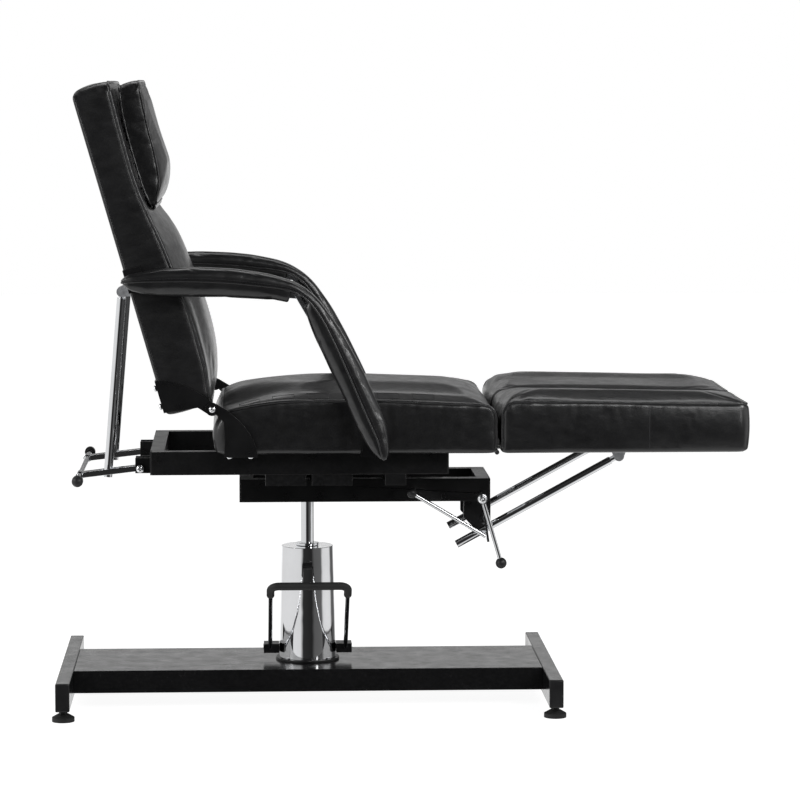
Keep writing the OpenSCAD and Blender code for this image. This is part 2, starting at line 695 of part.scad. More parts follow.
// The left lock is worked from the right: its shaft runs across through the lower rails
module leg_lock_left() color(chrome) place() {
    lock_plate(76, leg_rod_y + 20);
    bar_along_y(lock_left_axis, shaft_r, -left_lever_y, leg_rod_y + 20);
    bar_along_y(lock_left_axis, 12.5, -left_lever_y - 4, -left_lever_y + 4);
    left_lever();
}

module lock_knob_right() color(plastic) place() difference() {
    translate([lever_right_end[0], -right_lever_y, lever_right_end[1]]) sphere(r = 11);
    right_lever();
}
module lock_knob_left() color(plastic) place() difference() {
    translate([lever_left_end[0], -left_lever_y, lever_left_end[1]]) sphere(r = 12);
    left_lever();
}

base_beam();
base_bars();
bar_end_caps();
levelling_feet();
pump_base_ring();
pump_body();
pump_cover();
pump_seal();
pump_bolts();
pedal_axle();
pedal_blocks();
pedal_bail();
pedal_sleeve();
piston_rod();
column_socket();
lower_side_rails();
lower_cross_rails();
upper_side_rails();
upper_cross_rails();
rail_end_plugs();
cross_plates();
seat_board();
seat_cushion();
seat_hinge_plates();
pivot_bolts();
handle_brackets();
leg_lock_bracket();
strut_brackets();
seat_hinge_leaves();
back_board();
back_cushion();
headrest_pillow();
headrest_strips();
back_hinge_plates();
rod_brackets();
arm_pivot_pins();
arm_bar(left);  // arm_bar_left
arm_bar(right);  // arm_bar_right
arm_pad(left);  // arm_pad_left
arm_pad(right);  // arm_pad_right
strut_bar(left);  // strut_bar_left
strut_bar(right);  // strut_bar_right
strut_pad(left);  // strut_pad_left
strut_pad(right);  // strut_pad_right
back_rods();
handle_arms();
handle_crossbar();
handle_knobs();
leg_board(left);  // leg_board_left
leg_board(right);  // leg_board_right
leg_cushion(left);  // leg_cushion_left
leg_cushion(right);  // leg_cushion_right
leg_fittings(left);  // leg_fittings_left
leg_fittings(right);  // leg_fittings_right
leg_rod(left);  // leg_rod_left
leg_rod(right);  // leg_rod_right
leg_lock_left();
leg_lock_right();
lock_knob_left();
lock_knob_right();
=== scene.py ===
"""Facial treatment bed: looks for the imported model.

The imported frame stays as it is. Every upholstered part is rebuilt here as a sewn, stuffed form in
leatherette, with its piping, seams and stitches, and each carried-over part gets a finished material.
Sizes below are in millimetres from the pump column's axis, and to_row() takes them to the row frame.
"""
import math

import bmesh
import bpy
import numpy as np
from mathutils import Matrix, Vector
from mathutils.bvhtree import BVHTree


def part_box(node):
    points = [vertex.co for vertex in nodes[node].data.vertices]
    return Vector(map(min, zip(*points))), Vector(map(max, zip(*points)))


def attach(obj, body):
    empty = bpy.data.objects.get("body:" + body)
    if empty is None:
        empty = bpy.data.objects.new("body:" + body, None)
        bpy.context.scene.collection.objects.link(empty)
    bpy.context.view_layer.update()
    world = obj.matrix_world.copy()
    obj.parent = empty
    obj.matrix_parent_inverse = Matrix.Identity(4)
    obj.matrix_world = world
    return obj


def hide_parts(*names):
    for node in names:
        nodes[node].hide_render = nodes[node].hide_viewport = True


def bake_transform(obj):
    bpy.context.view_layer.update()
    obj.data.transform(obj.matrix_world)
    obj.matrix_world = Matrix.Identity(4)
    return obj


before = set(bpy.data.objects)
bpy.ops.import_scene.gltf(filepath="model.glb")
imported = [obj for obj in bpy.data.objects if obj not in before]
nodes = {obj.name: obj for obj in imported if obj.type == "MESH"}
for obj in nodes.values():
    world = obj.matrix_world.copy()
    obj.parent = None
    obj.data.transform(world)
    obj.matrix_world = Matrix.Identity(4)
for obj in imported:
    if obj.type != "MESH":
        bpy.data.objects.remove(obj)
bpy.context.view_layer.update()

scene = bpy.context.scene

cover_lo, cover_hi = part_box("pump_cover")
AXIS_X = (cover_lo.x + cover_hi.x) / 2     # the column's axis in the row frame
MM = 1000.0
STEP = 0.004          # between the points along a cord or seam, in metres
PIPING = 0.0031       # radius of the cushions' piping


# ---- Small tools -------------------------------------------------------------------------------


def to_row(points):
    """Millimetres from the column's axis to metres in the row frame."""
    return np.asarray(points, float) / MM + np.array([AXIS_X, 0.0, 0.0])


def from_row(points):
    return (np.asarray(points, float) - np.array([AXIS_X, 0.0, 0.0])) * MM


def mm_box(node):
    """A node's box in millimetres from the column's axis."""
    lo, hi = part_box(node)
    return from_row(lo), from_row(hi)


def ramp(t, edge0, edge1):
    """Smooth step from 0 at edge0 to 1 at edge1."""
    s = np.clip((np.asarray(t, float) - edge0) / (edge1 - edge0), 0, 1)
    return s * s * (3 - 2 * s)


def table_of(t, pairs):
    """Smoothly interpolated values of a short table of (t, value)."""
    ts, vs = np.array(pairs, float).T
    t = np.asarray(t, float)
    slopes = np.gradient(vs, ts)
    i = np.clip(np.searchsorted(ts, t) - 1, 0, len(ts) - 2)
    h = ts[i + 1] - ts[i]
    s = np.clip((t - ts[i]) / h, 0, 1)
    return ((1 + 2 * s) * (1 - s) ** 2 * vs[i] + s * (1 - s) ** 2 * h * slopes[i]
            + s * s * (3 - 2 * s) * vs[i + 1] + s * s * (s - 1) * h * slopes[i + 1])


def waves(points, length, seed):
    """A smooth repeatable bumpy field in -1..1, its bumps about `length` apart."""
    rng = np.random.default_rng(seed)
    total = np.zeros(len(points))
    for _ in range(7):
        direction = rng.normal(size=3)
        direction /= np.linalg.norm(direction)
        k = 2 * math.pi / (length * rng.uniform(0.7, 1.6))
        total += np.sin(points @ direction * k + rng.uniform(0, 2 * math.pi))
    return total / 4.5


def coords(mesh):
    co = np.empty(len(mesh.vertices) * 3)
    mesh.vertices.foreach_get("co", co)
    return co.reshape(-1, 3)


def normals(mesh):
    mesh.update()
    no = np.empty(len(mesh.vertices) * 3, np.float32)
    mesh.vertex_normals.foreach_get("vector", no)
    return no.reshape(-1, 3).astype(float)


def set_coords(mesh, points):
    mesh.vertices.foreach_set("co", np.asarray(points, np.float32).ravel())
    mesh.update()


def new_object(name, points, faces, material, smooth=True):
    """A mesh object from points in the row frame."""
    mesh = bpy.data.meshes.new(name)
    mesh.from_pydata([tuple(p) for p in points], [], [tuple(int(i) for i in f) for f in faces])
    mesh.polygons.foreach_set("use_smooth", [smooth] * len(mesh.polygons))
    mesh.materials.append(material)
    mesh.update()
    obj = bpy.data.objects.new(name, mesh)
    scene.collection.objects.link(obj)
    return obj


def facing_out(obj):
    """Turns the faces outward."""
    bm = bmesh.new()
    bm.from_mesh(obj.data)
    bmesh.ops.recalc_face_normals(bm, faces=bm.faces)
    bm.to_mesh(obj.data)
    bm.free()


# ---- Materials ---------------------------------------------------------------------------------


def material(name, **uniform):
    """A Principled material; the values that are the same all over are set on the shader itself."""
    mat = bpy.data.materials.new(name)
    mat.use_nodes = True
    shader = mat.node_tree.nodes["Principled BSDF"]
    for key, value in uniform.items():
        shader.inputs[key.replace("_", " ")].default_value = value
    return mat, shader


def add_node(tree, kind, **values):
    """A shader node with its sockets or settings filled in."""
    node = tree.nodes.new(kind)
    for key, value in values.items():
        if key in node.inputs:
            node.inputs[key].default_value = value
        else:
            setattr(node, key, value)
    return node


class Nodes:
    """Short-hand for wiring one material."""

    def __init__(self, mat):
        self.tree = mat.node_tree
        self.where = self.add("ShaderNodeTexCoord").outputs["Object"]

    def add(self, kind, **values):
        return add_node(self.tree, kind, **values)

    def link(self, a, b):
        self.tree.links.new(a, b)

    def place(self, scale=(1, 1, 1), turn=(0, 0, 0)):
        node = self.add("ShaderNodeMapping")
        node.inputs["Scale"].default_value = scale
        node.inputs["Rotation"].default_value = turn
        self.link(self.where, node.inputs["Vector"])
        return node.outputs["Vector"]

    def noise(self, scale, detail=3.0, roughness=0.5, vector=None):
        node = self.add("ShaderNodeTexNoise", Scale=scale, Detail=detail, Roughness=roughness)
        self.link(vector or self.where, node.inputs["Vector"])
        return node.outputs["Fac"]

    def cells(self, scale, feature="F1", vector=None):
        node = self.add("ShaderNodeTexVoronoi", Scale=scale, feature=feature)
        self.link(vector or self.where, node.inputs["Vector"])
        return node.outputs["Distance"]

    def span(self, value, lo, hi, from_lo=0.0, from_hi=1.0):
        node = self.add("ShaderNodeMapRange")
        for key, number in (("From Min", from_lo), ("From Max", from_hi), ("To Min", lo), ("To Max", hi)):
            node.inputs[key].default_value = number
        self.link(value, node.inputs["Value"])
        return node.outputs["Result"]

    def colours(self, value, stops):
        node = self.add("ShaderNodeValToRGB")
        ramp_ = node.color_ramp
        while len(ramp_.elements) < len(stops):
            ramp_.elements.new(0.5)
        for element, (at, colour) in zip(ramp_.elements, stops):
            element.position = at
            element.color = (*colour, 1)
        self.link(value, node.inputs["Fac"])
        return node.outputs["Color"]

    def mix(self, factor, a, b):
        node = self.add("ShaderNodeMix", data_type="RGBA")
        self.link(factor, node.inputs["Factor"])
        self.link(a, node.inputs["A"])
        self.link(b, node.inputs["B"])
        return node.outputs["Result"]

    def bump(self, height, distance, strength, onto=None):
        node = self.add("ShaderNodeBump")
        node.inputs["Distance"].default_value = distance
        node.inputs["Strength"].default_value = strength
        self.link(height, node.inputs["Height"])
        if onto is not None:
            self.link(onto, node.inputs["Normal"])
        return node.outputs["Normal"]

    def edges(self, lo=0.5, hi=0.6):
        """Where the surface is a sharp outer edge, read from its pointiness."""
        return self.span(self.add("ShaderNodeNewGeometry").outputs["Pointiness"], 0, 1, lo, hi)


def leather_material(name, dark, light, gloss):
    """Soft black leatherette: pebbled grain, faint creases, uneven gloss and a painted highlight along the
    edges.
    """
    mat, shader = material(name, Specular_IOR_Level=0.5, Coat_Weight=0.32, Coat_Roughness=0.17)
    n = Nodes(mat)
    grain = n.cells(620.0, "SMOOTH_F1")
    pores = n.noise(1500.0, 2.0)
    crease = n.noise(34.0, 5.0, 0.62, n.place((1.0, 1.0, 1.8)))
    cloudy = n.noise(7.0, 3.0, 0.55)
    tint = n.colours(cloudy, [(0.3, dark), (0.7, light)])
    # painted highlight: the sharp outer edges of the leather are made lighter, with the grain still showing in
    # them
    painted_edge_highlight = n.colours(grain, [(0.0, tuple(1.8 * c for c in light)), (0.8, light)])
    n.link(n.mix(n.edges(0.52, 0.62), tint, painted_edge_highlight), shader.inputs["Base Color"])
    uneven = n.add("ShaderNodeMath", operation="ADD")
    n.link(n.span(crease, gloss[0], gloss[1], 0.3, 0.7), uneven.inputs[0])
    n.link(n.span(pores, -0.03, 0.03), uneven.inputs[1])
    n.link(uneven.outputs[0], shader.inputs["Roughness"])
    normal = n.bump(crease, 0.0030, 0.22)
    normal = n.bump(grain, 0.00045, 0.30, normal)
    normal = n.bump(pores, 0.00012, 0.25, normal)
    n.link(normal, shader.inputs["Normal"])
    return mat


def painted_material(name, dark, light, gloss, peel=0.0002):
    """Powder-coated steel: orange peel, dull patches, coat worn thin along the edges."""
    mat, shader = material(name, Specular_IOR_Level=0.5)
    n = Nodes(mat)
    peel_field = n.noise(900.0, 2.0, 0.5)
    patches = n.noise(9.0, 4.0, 0.6)
    tint = n.colours(patches, [(0.3, dark), (0.7, light)])
    worn = n.colours(n.noise(160.0, 3.0), [(0.4, light), (0.8, (0.075, 0.075, 0.078))])
    n.link(n.mix(n.edges(0.55, 0.72), tint, worn), shader.inputs["Base Color"])
    n.link(n.span(n.noise(26.0, 5.0, 0.65), gloss[0], gloss[1], 0.3, 0.7), shader.inputs["Roughness"])
    normal = n.bump(patches, 0.0012, 0.10)
    n.link(n.bump(peel_field, peel, 0.35, normal), shader.inputs["Normal"])
    return mat


def bright_material(name, colour, gloss, streaks=(1, 1, 60), metal=1.0):
    """Plated or turned metal: fine polishing streaks, finger smears and a slightly uneven mirror."""
    mat, shader = material(name, Metallic=metal)
    n = Nodes(mat)
    smear = n.noise(14.0, 4.0, 0.6)
    fine = n.noise(40.0, 4.0, 0.7, n.place(streaks))
    tint = n.colours(smear, [(0.3, tuple(0.93 * c for c in colour)), (0.7, colour)])
    n.link(tint, shader.inputs["Base Color"])
    n.link(n.span(fine, gloss[0], gloss[1], 0.3, 0.7), shader.inputs["Roughness"])
    normal = n.bump(smear, 0.0008, 0.10)
    n.link(n.bump(fine, 0.00006, 0.12, normal), shader.inputs["Normal"])
    return mat


def moulded_material(name, dark, light, gloss, scale=700.0, depth=0.0003):
    """Moulded plastic or rubber: spark-eroded texture and chalky high spots."""
    mat, shader = material(name, Specular_IOR_Level=0.45)
    n = Nodes(mat)
    spark = n.noise(scale, 3.0, 0.6)
    broad = n.noise(24.0, 4.0, 0.6)
    tint = n.colours(broad, [(0.3, dark), (0.72, light)])
    chalk = n.colours(spark, [(0.4, light), (0.9, tuple(2.2 * c for c in light))])
    n.link(n.mix(n.edges(0.54, 0.66), tint, chalk), shader.inputs["Base Color"])
    n.link(n.span(broad, gloss[0], gloss[1], 0.3, 0.7), shader.inputs["Roughness"])
    n.link(n.bump(spark, depth, 0.5), shader.inputs["Normal"])
    return mat


def cloth_material(name, dark, light, scale, depth):
    """Matted black cloth: a fine crossed weave with fuzz."""
    mat, shader = material(name, Specular_IOR_Level=0.2, Sheen_Weight=0.25, Sheen_Roughness=0.5)
    n = Nodes(mat)
    warp = n.add("ShaderNodeTexWave", Scale=scale, Distortion=1.2, Detail=2.0, bands_direction="X")
    weft = n.add("ShaderNodeTexWave", Scale=scale, Distortion=1.2, Detail=2.0, bands_direction="Y")
    for wave in (warp, weft):
        n.link(n.where, wave.inputs["Vector"])
    crossed = n.add("ShaderNodeMath", operation="MULTIPLY")
    n.link(warp.outputs["Fac"], crossed.inputs[0])
    n.link(weft.outputs["Fac"], crossed.inputs[1])
    n.link(n.colours(crossed.outputs[0], [(0.1, dark), (0.9, light)]), shader.inputs["Base Color"])
    n.link(n.span(n.noise(300.0, 3.0), 0.8, 0.98), shader.inputs["Roughness"])
    n.link(n.bump(crossed.outputs[0], depth, 0.6), shader.inputs["Normal"])
    return mat


leather = leather_material("leather", (0.0080, 0.0080, 0.0086), (0.0130, 0.0130, 0.0138), (0.28, 0.40))
piping_skin = leather_material("leather_piping", (0.0090, 0.0090, 0.0096), (0.0145, 0.0145, 0.0152),
                               (0.26, 0.36))
thread = moulded_material("thread", (0.012, 0.012, 0.013), (0.03, 0.03, 0.032), (0.45, 0.6), 1800.0, 0.0002)
painted = painted_material("powder_coat", (0.0050, 0.0050, 0.0055), (0.0085, 0.0085, 0.009), (0.26, 0.36))
beam_paint = painted_material("beam_coat", (0.0060, 0.0060, 0.0065), (0.010, 0.010, 0.0105), (0.15, 0.22),
                              0.0001)
chrome = bright_material("chrome", (0.86, 0.87, 0.885), (0.035, 0.075))
cover_chrome = bright_material("cover_chrome", (0.88, 0.885, 0.90), (0.03, 0.06), (60, 60, 1))
steel = bright_material("steel", (0.66, 0.67, 0.69), (0.20, 0.34))
zinc = bright_material("zinc_plate", (0.62, 0.63, 0.65), (0.34, 0.5), (1, 1, 1), 0.5)
plastic = moulded_material("black_plastic", (0.008, 0.008, 0.009), (0.016, 0.016, 0.017), (0.34, 0.48))
rubber = moulded_material("black_rubber", (0.009, 0.009, 0.009), (0.018, 0.018, 0.018), (0.55, 0.75),
                          480.0, 0.0005)
backing = cloth_material("backing_cloth", (0.006, 0.006, 0.006), (0.018, 0.018, 0.018), 240.0, 0.0004)
hook_tape = cloth_material("hook_tape", (0.004, 0.004, 0.004), (0.02, 0.02, 0.02), 420.0, 0.0008)

BY_SLOT = {
    "black_metal": painted, "black_plastic": plastic, "black_rubber": rubber, "chrome": chrome,
    "steel": steel, "leatherette": leather, "board": backing, "strip": hook_tape,
}
BY_NODE = {"base_beam": beam_paint, "base_bars": beam_paint, "pump_cover": cover_chrome,
           "pivot_bolts": painted, "pump_bolts": steel, "rod_brackets": zinc, "leg_fittings_left": zinc,
           "leg_fittings_right": zinc, "seat_hinge_leaves": steel}
SHARPEST = math.radians(30)
BEVEL = {"base_beam": 0.0012, "base_bars": 0.0022, "bar_end_caps": 0.002, "pedal_sleeve": 0.0006}

for name, obj in nodes.items():
    slot_name = obj.data.materials[0].name
    obj.data.materials[0] = BY_NODE.get(name, BY_SLOT[slot_name])
    obj.data.polygons.foreach_set("use_smooth", [True] * len(obj.data.polygons))
    if "custom_normal" in obj.data.attributes:
        obj.data.attributes.remove(obj.data.attributes["custom_normal"])
    weld = obj.modifiers.new("weld", "WELD")
    weld.merge_threshold = 0.00002
    bevel = obj.modifiers.new("bevel", "BEVEL")
    bevel.width = BEVEL.get(name, 0.0008)
    bevel.segments = 2
    bevel.limit_method = "ANGLE"
    bevel.angle_limit = SHARPEST
    bevel.harden_normals = True
    weighted = obj.modifiers.new("weighted", "WEIGHTED_NORMAL")
    weighted.keep_sharp = True


# ---- Upholstery tools --------------------------------------------------------------------------


def lattice(na, nb, nc):
    """Point numbers on the skin of a box of na x nb x nc cells, their places in it, and the quads."""
    number = -np.ones((na + 1, nb + 1, nc + 1), int)
    i, j, k = np.indices(number.shape)
    skin = (i == 0) | (i == na) | (j == 0) | (j == nb) | (k == 0) | (k == nc)
    number[skin] = np.arange(int(skin.sum()))
    share = np.argwhere(skin) / np.array([na, nb, nc], float)
    faces = []
    for grid, flip in ((number[:, :, 0], True), (number[:, :, nc], False), (number[:, 0, :], False),
                       (number[:, nb, :], True), (number[0], True), (number[na], False)):
        quads = np.stack([grid[:-1, :-1], grid[1:, :-1], grid[1:, 1:], grid[:-1, 1:]], -1).reshape(-1, 4)
        faces.append(quads[:, ::-1] if flip else quads)
    return number, share, np.concatenate(faces)


def rounded(p, q, corner_p, corner_q, sign_p, sign_q, radius):
    """Rounds one corner of a box section: squares about the corner's centre become circles."""
    dp = (p - (corner_p - sign_p * radius)) * sign_p
    dq = (q - (corner_q - sign_q * radius)) * sign_q
    inside = (dp > 0) & (dq > 0)
    scale = np.where(inside, np.maximum(dp, dq) / np.maximum(np.hypot(dp, dq), 1e-9), 1.0)
    p = np.where(inside, corner_p - sign_p * radius + sign_p * dp * scale, p)
    q = np.where(inside, corner_q - sign_q * radius + sign_q * dq * scale, q)
    return p, q


def puff(obj, held, pressure=4.0, slack=0.002, cap=0.012, frames=20):
    """Blows the sewn cover up over its filling: cloth under pressure, held at its seams."""
    mesh = obj.data
    rest = coords(mesh)
    group = obj.vertex_groups.new(name="held")
    for weight in np.unique(np.round(held, 2)):
        if weight > 0:
            group.add([int(i) for i in np.flatnonzero(np.isclose(held, weight, atol=0.006))],
                      float(weight), "REPLACE")
    cloth = obj.modifiers.new("cloth", "CLOTH")
    settings = cloth.settings
    settings.quality = 6
    settings.mass = 0.3
    settings.tension_stiffness = settings.compression_stiffness = 22
    settings.shear_stiffness = 10
    settings.bending_stiffness = 0.8
    settings.use_pressure = True
    settings.uniform_pressure_force = pressure
    settings.vertex_group_mass = "held"
    settings.pin_stiffness = 1.0
    settings.shrink_min = -slack
    settings.effector_weights.gravity = 0
    cloth.collision_settings.use_collision = False
    cloth.collision_settings.use_self_collision = False
    cloth.point_cache.frame_start, cloth.point_cache.frame_end = 1, frames
    for step in range(1, frames + 1):
        scene.frame_set(step)
    shaped = coords(obj.evaluated_get(bpy.context.evaluated_depsgraph_get()).data)
    obj.modifiers.remove(cloth)
    scene.frame_set(1)
    move = shaped - rest
    far = np.linalg.norm(move, axis=1, keepdims=True)
    limit = np.broadcast_to(np.asarray(cap, float), len(rest))[:, None]
    set_coords(mesh, rest + move * np.minimum(1, limit / np.maximum(far, 1e-9)))
    obj.vertex_groups.clear()


def refine(obj):
    """One subdivision, applied, so that seams and blends work on the final mesh."""
    sub = obj.modifiers.new("sub", "SUBSURF")
    sub.levels = sub.render_levels = 1
    done = bpy.data.meshes.new_from_object(obj.evaluated_get(bpy.context.evaluated_depsgraph_get()))
    obj.modifiers.clear()
    old = obj.data
    obj.data = done
    bpy.data.meshes.remove(old)
    done.name = obj.name
    done.polygons.foreach_set("use_smooth", [True] * len(done.polygons))


def surface(obj):
    return BVHTree.FromPolygons([tuple(c) for c in coords(obj.data)],
                                [tuple(p.vertices) for p in obj.data.polygons])


def settle(tree, points, lift):
    """The nearest places on a surface, lifted off it, and the normals there."""
    places, upward = [], []
    for p in points:
        at, normal, _, _ = tree.find_nearest(Vector(p))
        places.append(at + normal * lift)
        upward.append(normal)
    return np.array(places, float), np.array(upward, float)


def even(points, step, closed=False, smooth=2):
    """A path resampled at even steps, slightly smoothed."""
    points = np.asarray(points, float)
    if closed:
        points = np.vstack([points, points[:1]])
    far = np.concatenate([[0], np.cumsum(np.linalg.norm(np.diff(points, axis=0), axis=1))])
    count = max(4, int(round(far[-1] / step)))
    at = np.linspace(0, far[-1], count + 1)
    out = np.stack([np.interp(at, far, points[:, c]) for c in range(3)], 1)
    if closed:
        out = out[:-1]
    for _ in range(smooth):
        before, after = np.roll(out, 1, 0), np.roll(out, -1, 0)
        moved = (before + 2 * out + after) / 4
        if not closed:
            moved[0], moved[-1] = out[0], out[-1]
        out = moved
    return out


def directions(path, closed):
    if closed:
        d = np.roll(path, -1, 0) - np.roll(path, 1, 0)
    else:
        d = np.gradient(path, axis=0)
    return d / np.maximum(np.linalg.norm(d, axis=1, keepdims=True), 1e-12)


def tube(name, path, radius, skin, closed=False, sides=8):
    """A round cord along a path, with closed ends."""
    path = even(path, STEP, closed)
    along = directions(path, closed)
    side = np.cross(along[0], [0.31, 0.77, 0.55])
    frames = []
    for t in along:
        side = side - t * (side @ t)
        side /= np.linalg.norm(side)
        frames.append((side.copy(), np.cross(t, side)))
    angle = np.arange(sides) * 2 * math.pi / sides
    swell = radius * (1 + 0.05 * np.sin(np.arange(len(path)) * 0.9))
    rings = np.array([p + r * (np.outer(np.cos(angle), a) + np.outer(np.sin(angle), b))
                      for p, r, (a, b) in zip(path, swell, frames)])
    faces = []
    count = len(path)
    for i in range(count if closed else count - 1):
        for s in range(sides):
            i2, s2 = (i + 1) % count, (s + 1) % sides
            faces.append((i * sides + s, i * sides + s2, i2 * sides + s2, i2 * sides + s))
    if not closed:
        faces.append(tuple(range(sides))[::-1])
        faces.append(tuple((count - 1) * sides + s for s in range(sides)))
    return new_object(name, rings.reshape(-1, 3), faces, skin)


def stitches(name, tree, path, pitch=0.0062, length=0.0042, radius=0.00055, closed=False, lift=0.0002):
    """A row of thread stitches, each a small spindle lying in the surface."""
    path = even(path, pitch, closed, 1)
    places, upward = settle(tree, path, lift)
    along = directions(places, closed)
    upward -= along * (upward * along).sum(1, keepdims=True)
    upward /= np.maximum(np.linalg.norm(upward, axis=1, keepdims=True), 1e-9)
    across = np.cross(along, upward)
    sides = 6
    angle = np.arange(sides) * 2 * math.pi / sides
    profile = ((-0.5, 0.35), (-0.3, 1.0), (0.3, 1.0), (0.5, 0.35))
    local = np.array([(t * length, r * radius * math.cos(a), r * radius * math.sin(a))
                      for t, r in profile for a in angle])
    points = (places[:, None] + local[None, :, :1] * along[:, None] + local[None, :, 1:2] * across[:, None]
              + local[None, :, 2:] * upward[:, None])
    faces = []
    for ring in range(len(profile) - 1):
        for s in range(sides):
            s2 = (s + 1) % sides
            faces.append((ring * sides + s, (ring + 1) * sides + s, (ring + 1) * sides + s2, ring * sides + s2))
    faces.append(tuple(range(sides)))
    faces.append(tuple((len(profile) - 1) * sides + s for s in range(sides))[::-1])
    every = [tuple(i + k * len(local) for i in f) for k in range(len(places)) for f in faces]
    return new_object(name, points.reshape(-1, 3), every, thread)


def dress(piece, body, extra=(), blended=None):
    """Puts a sewn piece and its trim on a body, or, when blended is given, leaves them in the row frame on no
    body.
    """
    for o in (piece, *extra):
        if blended:
            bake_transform(o)
        else:
            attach(o, body)


def sewn_box(name, cells, lo, hi, shape):
    """A box skin between two corners, in millimetres, bent by shape(x, y, z)."""
    number, share, faces = lattice(*cells)
    p = np.asarray(lo, float) + share * (np.asarray(hi, float) - np.asarray(lo, float))
    obj = new_object(name, to_row(shape(p[:, 0], p[:, 1], p[:, 2])), faces, leather)
    return obj, number, share


def line_of(number, *runs):
    """Point numbers along edges of the lattice: each run is an index expression, joined end to end."""
    out = []
    for run in runs:
        for i in np.asarray(number[run]).ravel():
            if not out or out[-1] != i:
                out.append(int(i))
    return out


# ---- Camera, floor and lights ------------------------------------------------------------------

camera = bpy.data.objects.new("camera", bpy.data.cameras.new("camera"))
scene.collection.objects.link(camera)
camera.data.lens = 147.1
camera.data.sensor_width = 36
camera.data.clip_end = 60
camera.location = (-0.3195, -7.1619, 1.347)
yaw, pitch_down = math.radians(2.63), math.radians(5.5)
gaze = Vector((math.sin(yaw) * math.cos(pitch_down), math.cos(yaw) * math.cos(pitch_down),
               -math.sin(pitch_down)))
camera.rotation_mode = "QUATERNION"
camera.rotation_quaternion = gaze.to_track_quat("-Z", "Y")
scene.camera = camera
scene.view_settings.view_transform = "Standard"
scene.view_settings.look = "None"

# The studio: a white backdrop behind the bed, grey walls beside it and a dark room in front
world = bpy.data.worlds.new("studio")
scene.world = world
world.use_nodes = True
sky = world.node_tree
sky.nodes.clear()


def sky_node(kind, **values):
    return add_node(sky, kind, **values)


def sky_ramp(value, stops):
    """Brightness by one part of a direction, which runs from -1 to 1."""
    spread = sky_node("ShaderNodeMapRange")
    spread.inputs["From Min"].default_value = -1
    sky.links.new(value, spread.inputs["Value"])
    node = sky_node("ShaderNodeValToRGB")
    while len(node.color_ramp.elements) < len(stops):
        node.color_ramp.elements.new(0.5)
    for element, (at, level) in zip(node.color_ramp.elements, stops):
        element.position = (at + 1) / 2
        element.color = (level, level, level, 1)
    sky.links.new(spread.outputs["Result"], node.inputs["Fac"])
    return node.outputs["Color"]


def sky_join(operation, a, b):
    node = sky_node("ShaderNodeMix", data_type="RGBA", blend_type=operation)
    node.inputs["Factor"].default_value = 1
    sky.links.new(a, node.inputs["A"])
    sky.links.new(b, node.inputs["B"])
    return node.outputs["Result"]


split = sky_node("ShaderNodeSeparateXYZ")
sky.links.new(sky_node("ShaderNodeTexCoord").outputs["Generated"], split.inputs[0])
toward_x, toward_y, toward_z = split.outputs
BACKDROP_Y = [(-1, 0), (0.80, 0), (0.955, 1.0), (1, 1.0)]
BACKDROP_Z = [(-1, 0.7), (-0.2, 1.0), (-0.02, 1.0), (0.05, 0.18), (0.128, 0.18), (0.145, 1.0), (0.19, 1.0),
              (0.25, 0.16), (1, 0.08)]
WALLS_X = [(-1, 0.85), (-0.50, 0.80), (-0.32, 0.03), (0.30, 0.02), (0.48, 0.11), (0.86, 0.13), (0.93, 0.8),
           (1, 0.85)]
WALLS_Z = [(-1, 0.3), (-0.4, 0.9), (0.55, 1.0), (0.8, 0.2), (1, 0.15)]
backdrop = sky_join("MULTIPLY", sky_ramp(toward_y, BACKDROP_Y), sky_ramp(toward_z, BACKDROP_Z))
walls = sky_join("MULTIPLY", sky_ramp(toward_x, WALLS_X), sky_ramp(toward_z, WALLS_Z))
graded = sky_node("ShaderNodeBackground")
ground = sky_ramp(toward_z, [(-1, 0.80), (-0.62, 0.70), (-0.42, 0.0), (1, 0.0)])
sky.links.new(sky_join("ADD", sky_join("ADD", backdrop, walls), ground), graded.inputs["Color"])
white = sky_node("ShaderNodeBackground", Color=(1, 1, 1, 1))
seen = sky_node("ShaderNodeMixShader")
sky.links.new(sky_node("ShaderNodeLightPath").outputs["Is Camera Ray"], seen.inputs["Fac"])
sky.links.new(graded.outputs[0], seen.inputs[1])
sky.links.new(white.outputs[0], seen.inputs[2])
sky.links.new(seen.outputs[0], sky_node("ShaderNodeOutputWorld").inputs[0])


def softbox(name, at, aim, size, power):
    data = bpy.data.lights.new(name, "AREA")
    data.shape = "RECTANGLE"
    data.size, data.size_y = size
    data.energy = power
    lamp = bpy.data.objects.new(name, data)
    scene.collection.objects.link(lamp)
    lamp.location = at
    lamp.rotation_mode = "QUATERNION"
    lamp.rotation_quaternion = (Vector(aim) - Vector(at)).to_track_quat("-Z", "Y")
    lamp.visible_camera = False
    return lamp


softbox("key_right", (3.4, -2.2, 3.0), (0.1, 0, 0.7), (1.4, 1.8), 70)
softbox("front_high", (2.0, -4.6, 3.1), (0.3, 0, 0.65), (2.4, 1.2), 62)
softbox("front_low", (3.3, -4.6, 1.5), (0.7, 0, 0.6), (0.7, 1.3), 13)
softbox("fill_left", (-3.8, -1.4, 2.4), (-0.2, 0, 0.7), (0.8, 2.2), 40)
softbox("overhead", (0.1, 1.0, 3.4), (0, 0, 0.6), (3.0, 1.2), 28)

floor_mat, floor_shader = material("floor", Roughness=0.7)
n = Nodes(floor_mat)
n.link(n.colours(n.noise(3.0, 2.0), [(0.3, (0.30, 0.30, 0.30)), (0.7, (0.33, 0.33, 0.33))]),
       floor_shader.inputs["Base Color"])
floor_shader.inputs["Emission Color"].default_value = (1, 1, 1, 1)
floor_shader.inputs["Emission Strength"].default_value = 0.93
REACH = 14.0
floor = new_object("floor", [(-REACH, -REACH, 0), (REACH, -REACH, 0), (REACH, REACH, 0), (-REACH, REACH, 0)],
                   [(0, 1, 2, 3)], floor_mat, smooth=False)
floor.visible_glossy = floor.visible_diffuse = False


# ---- Seat cushion ------------------------------------------------------------------------------

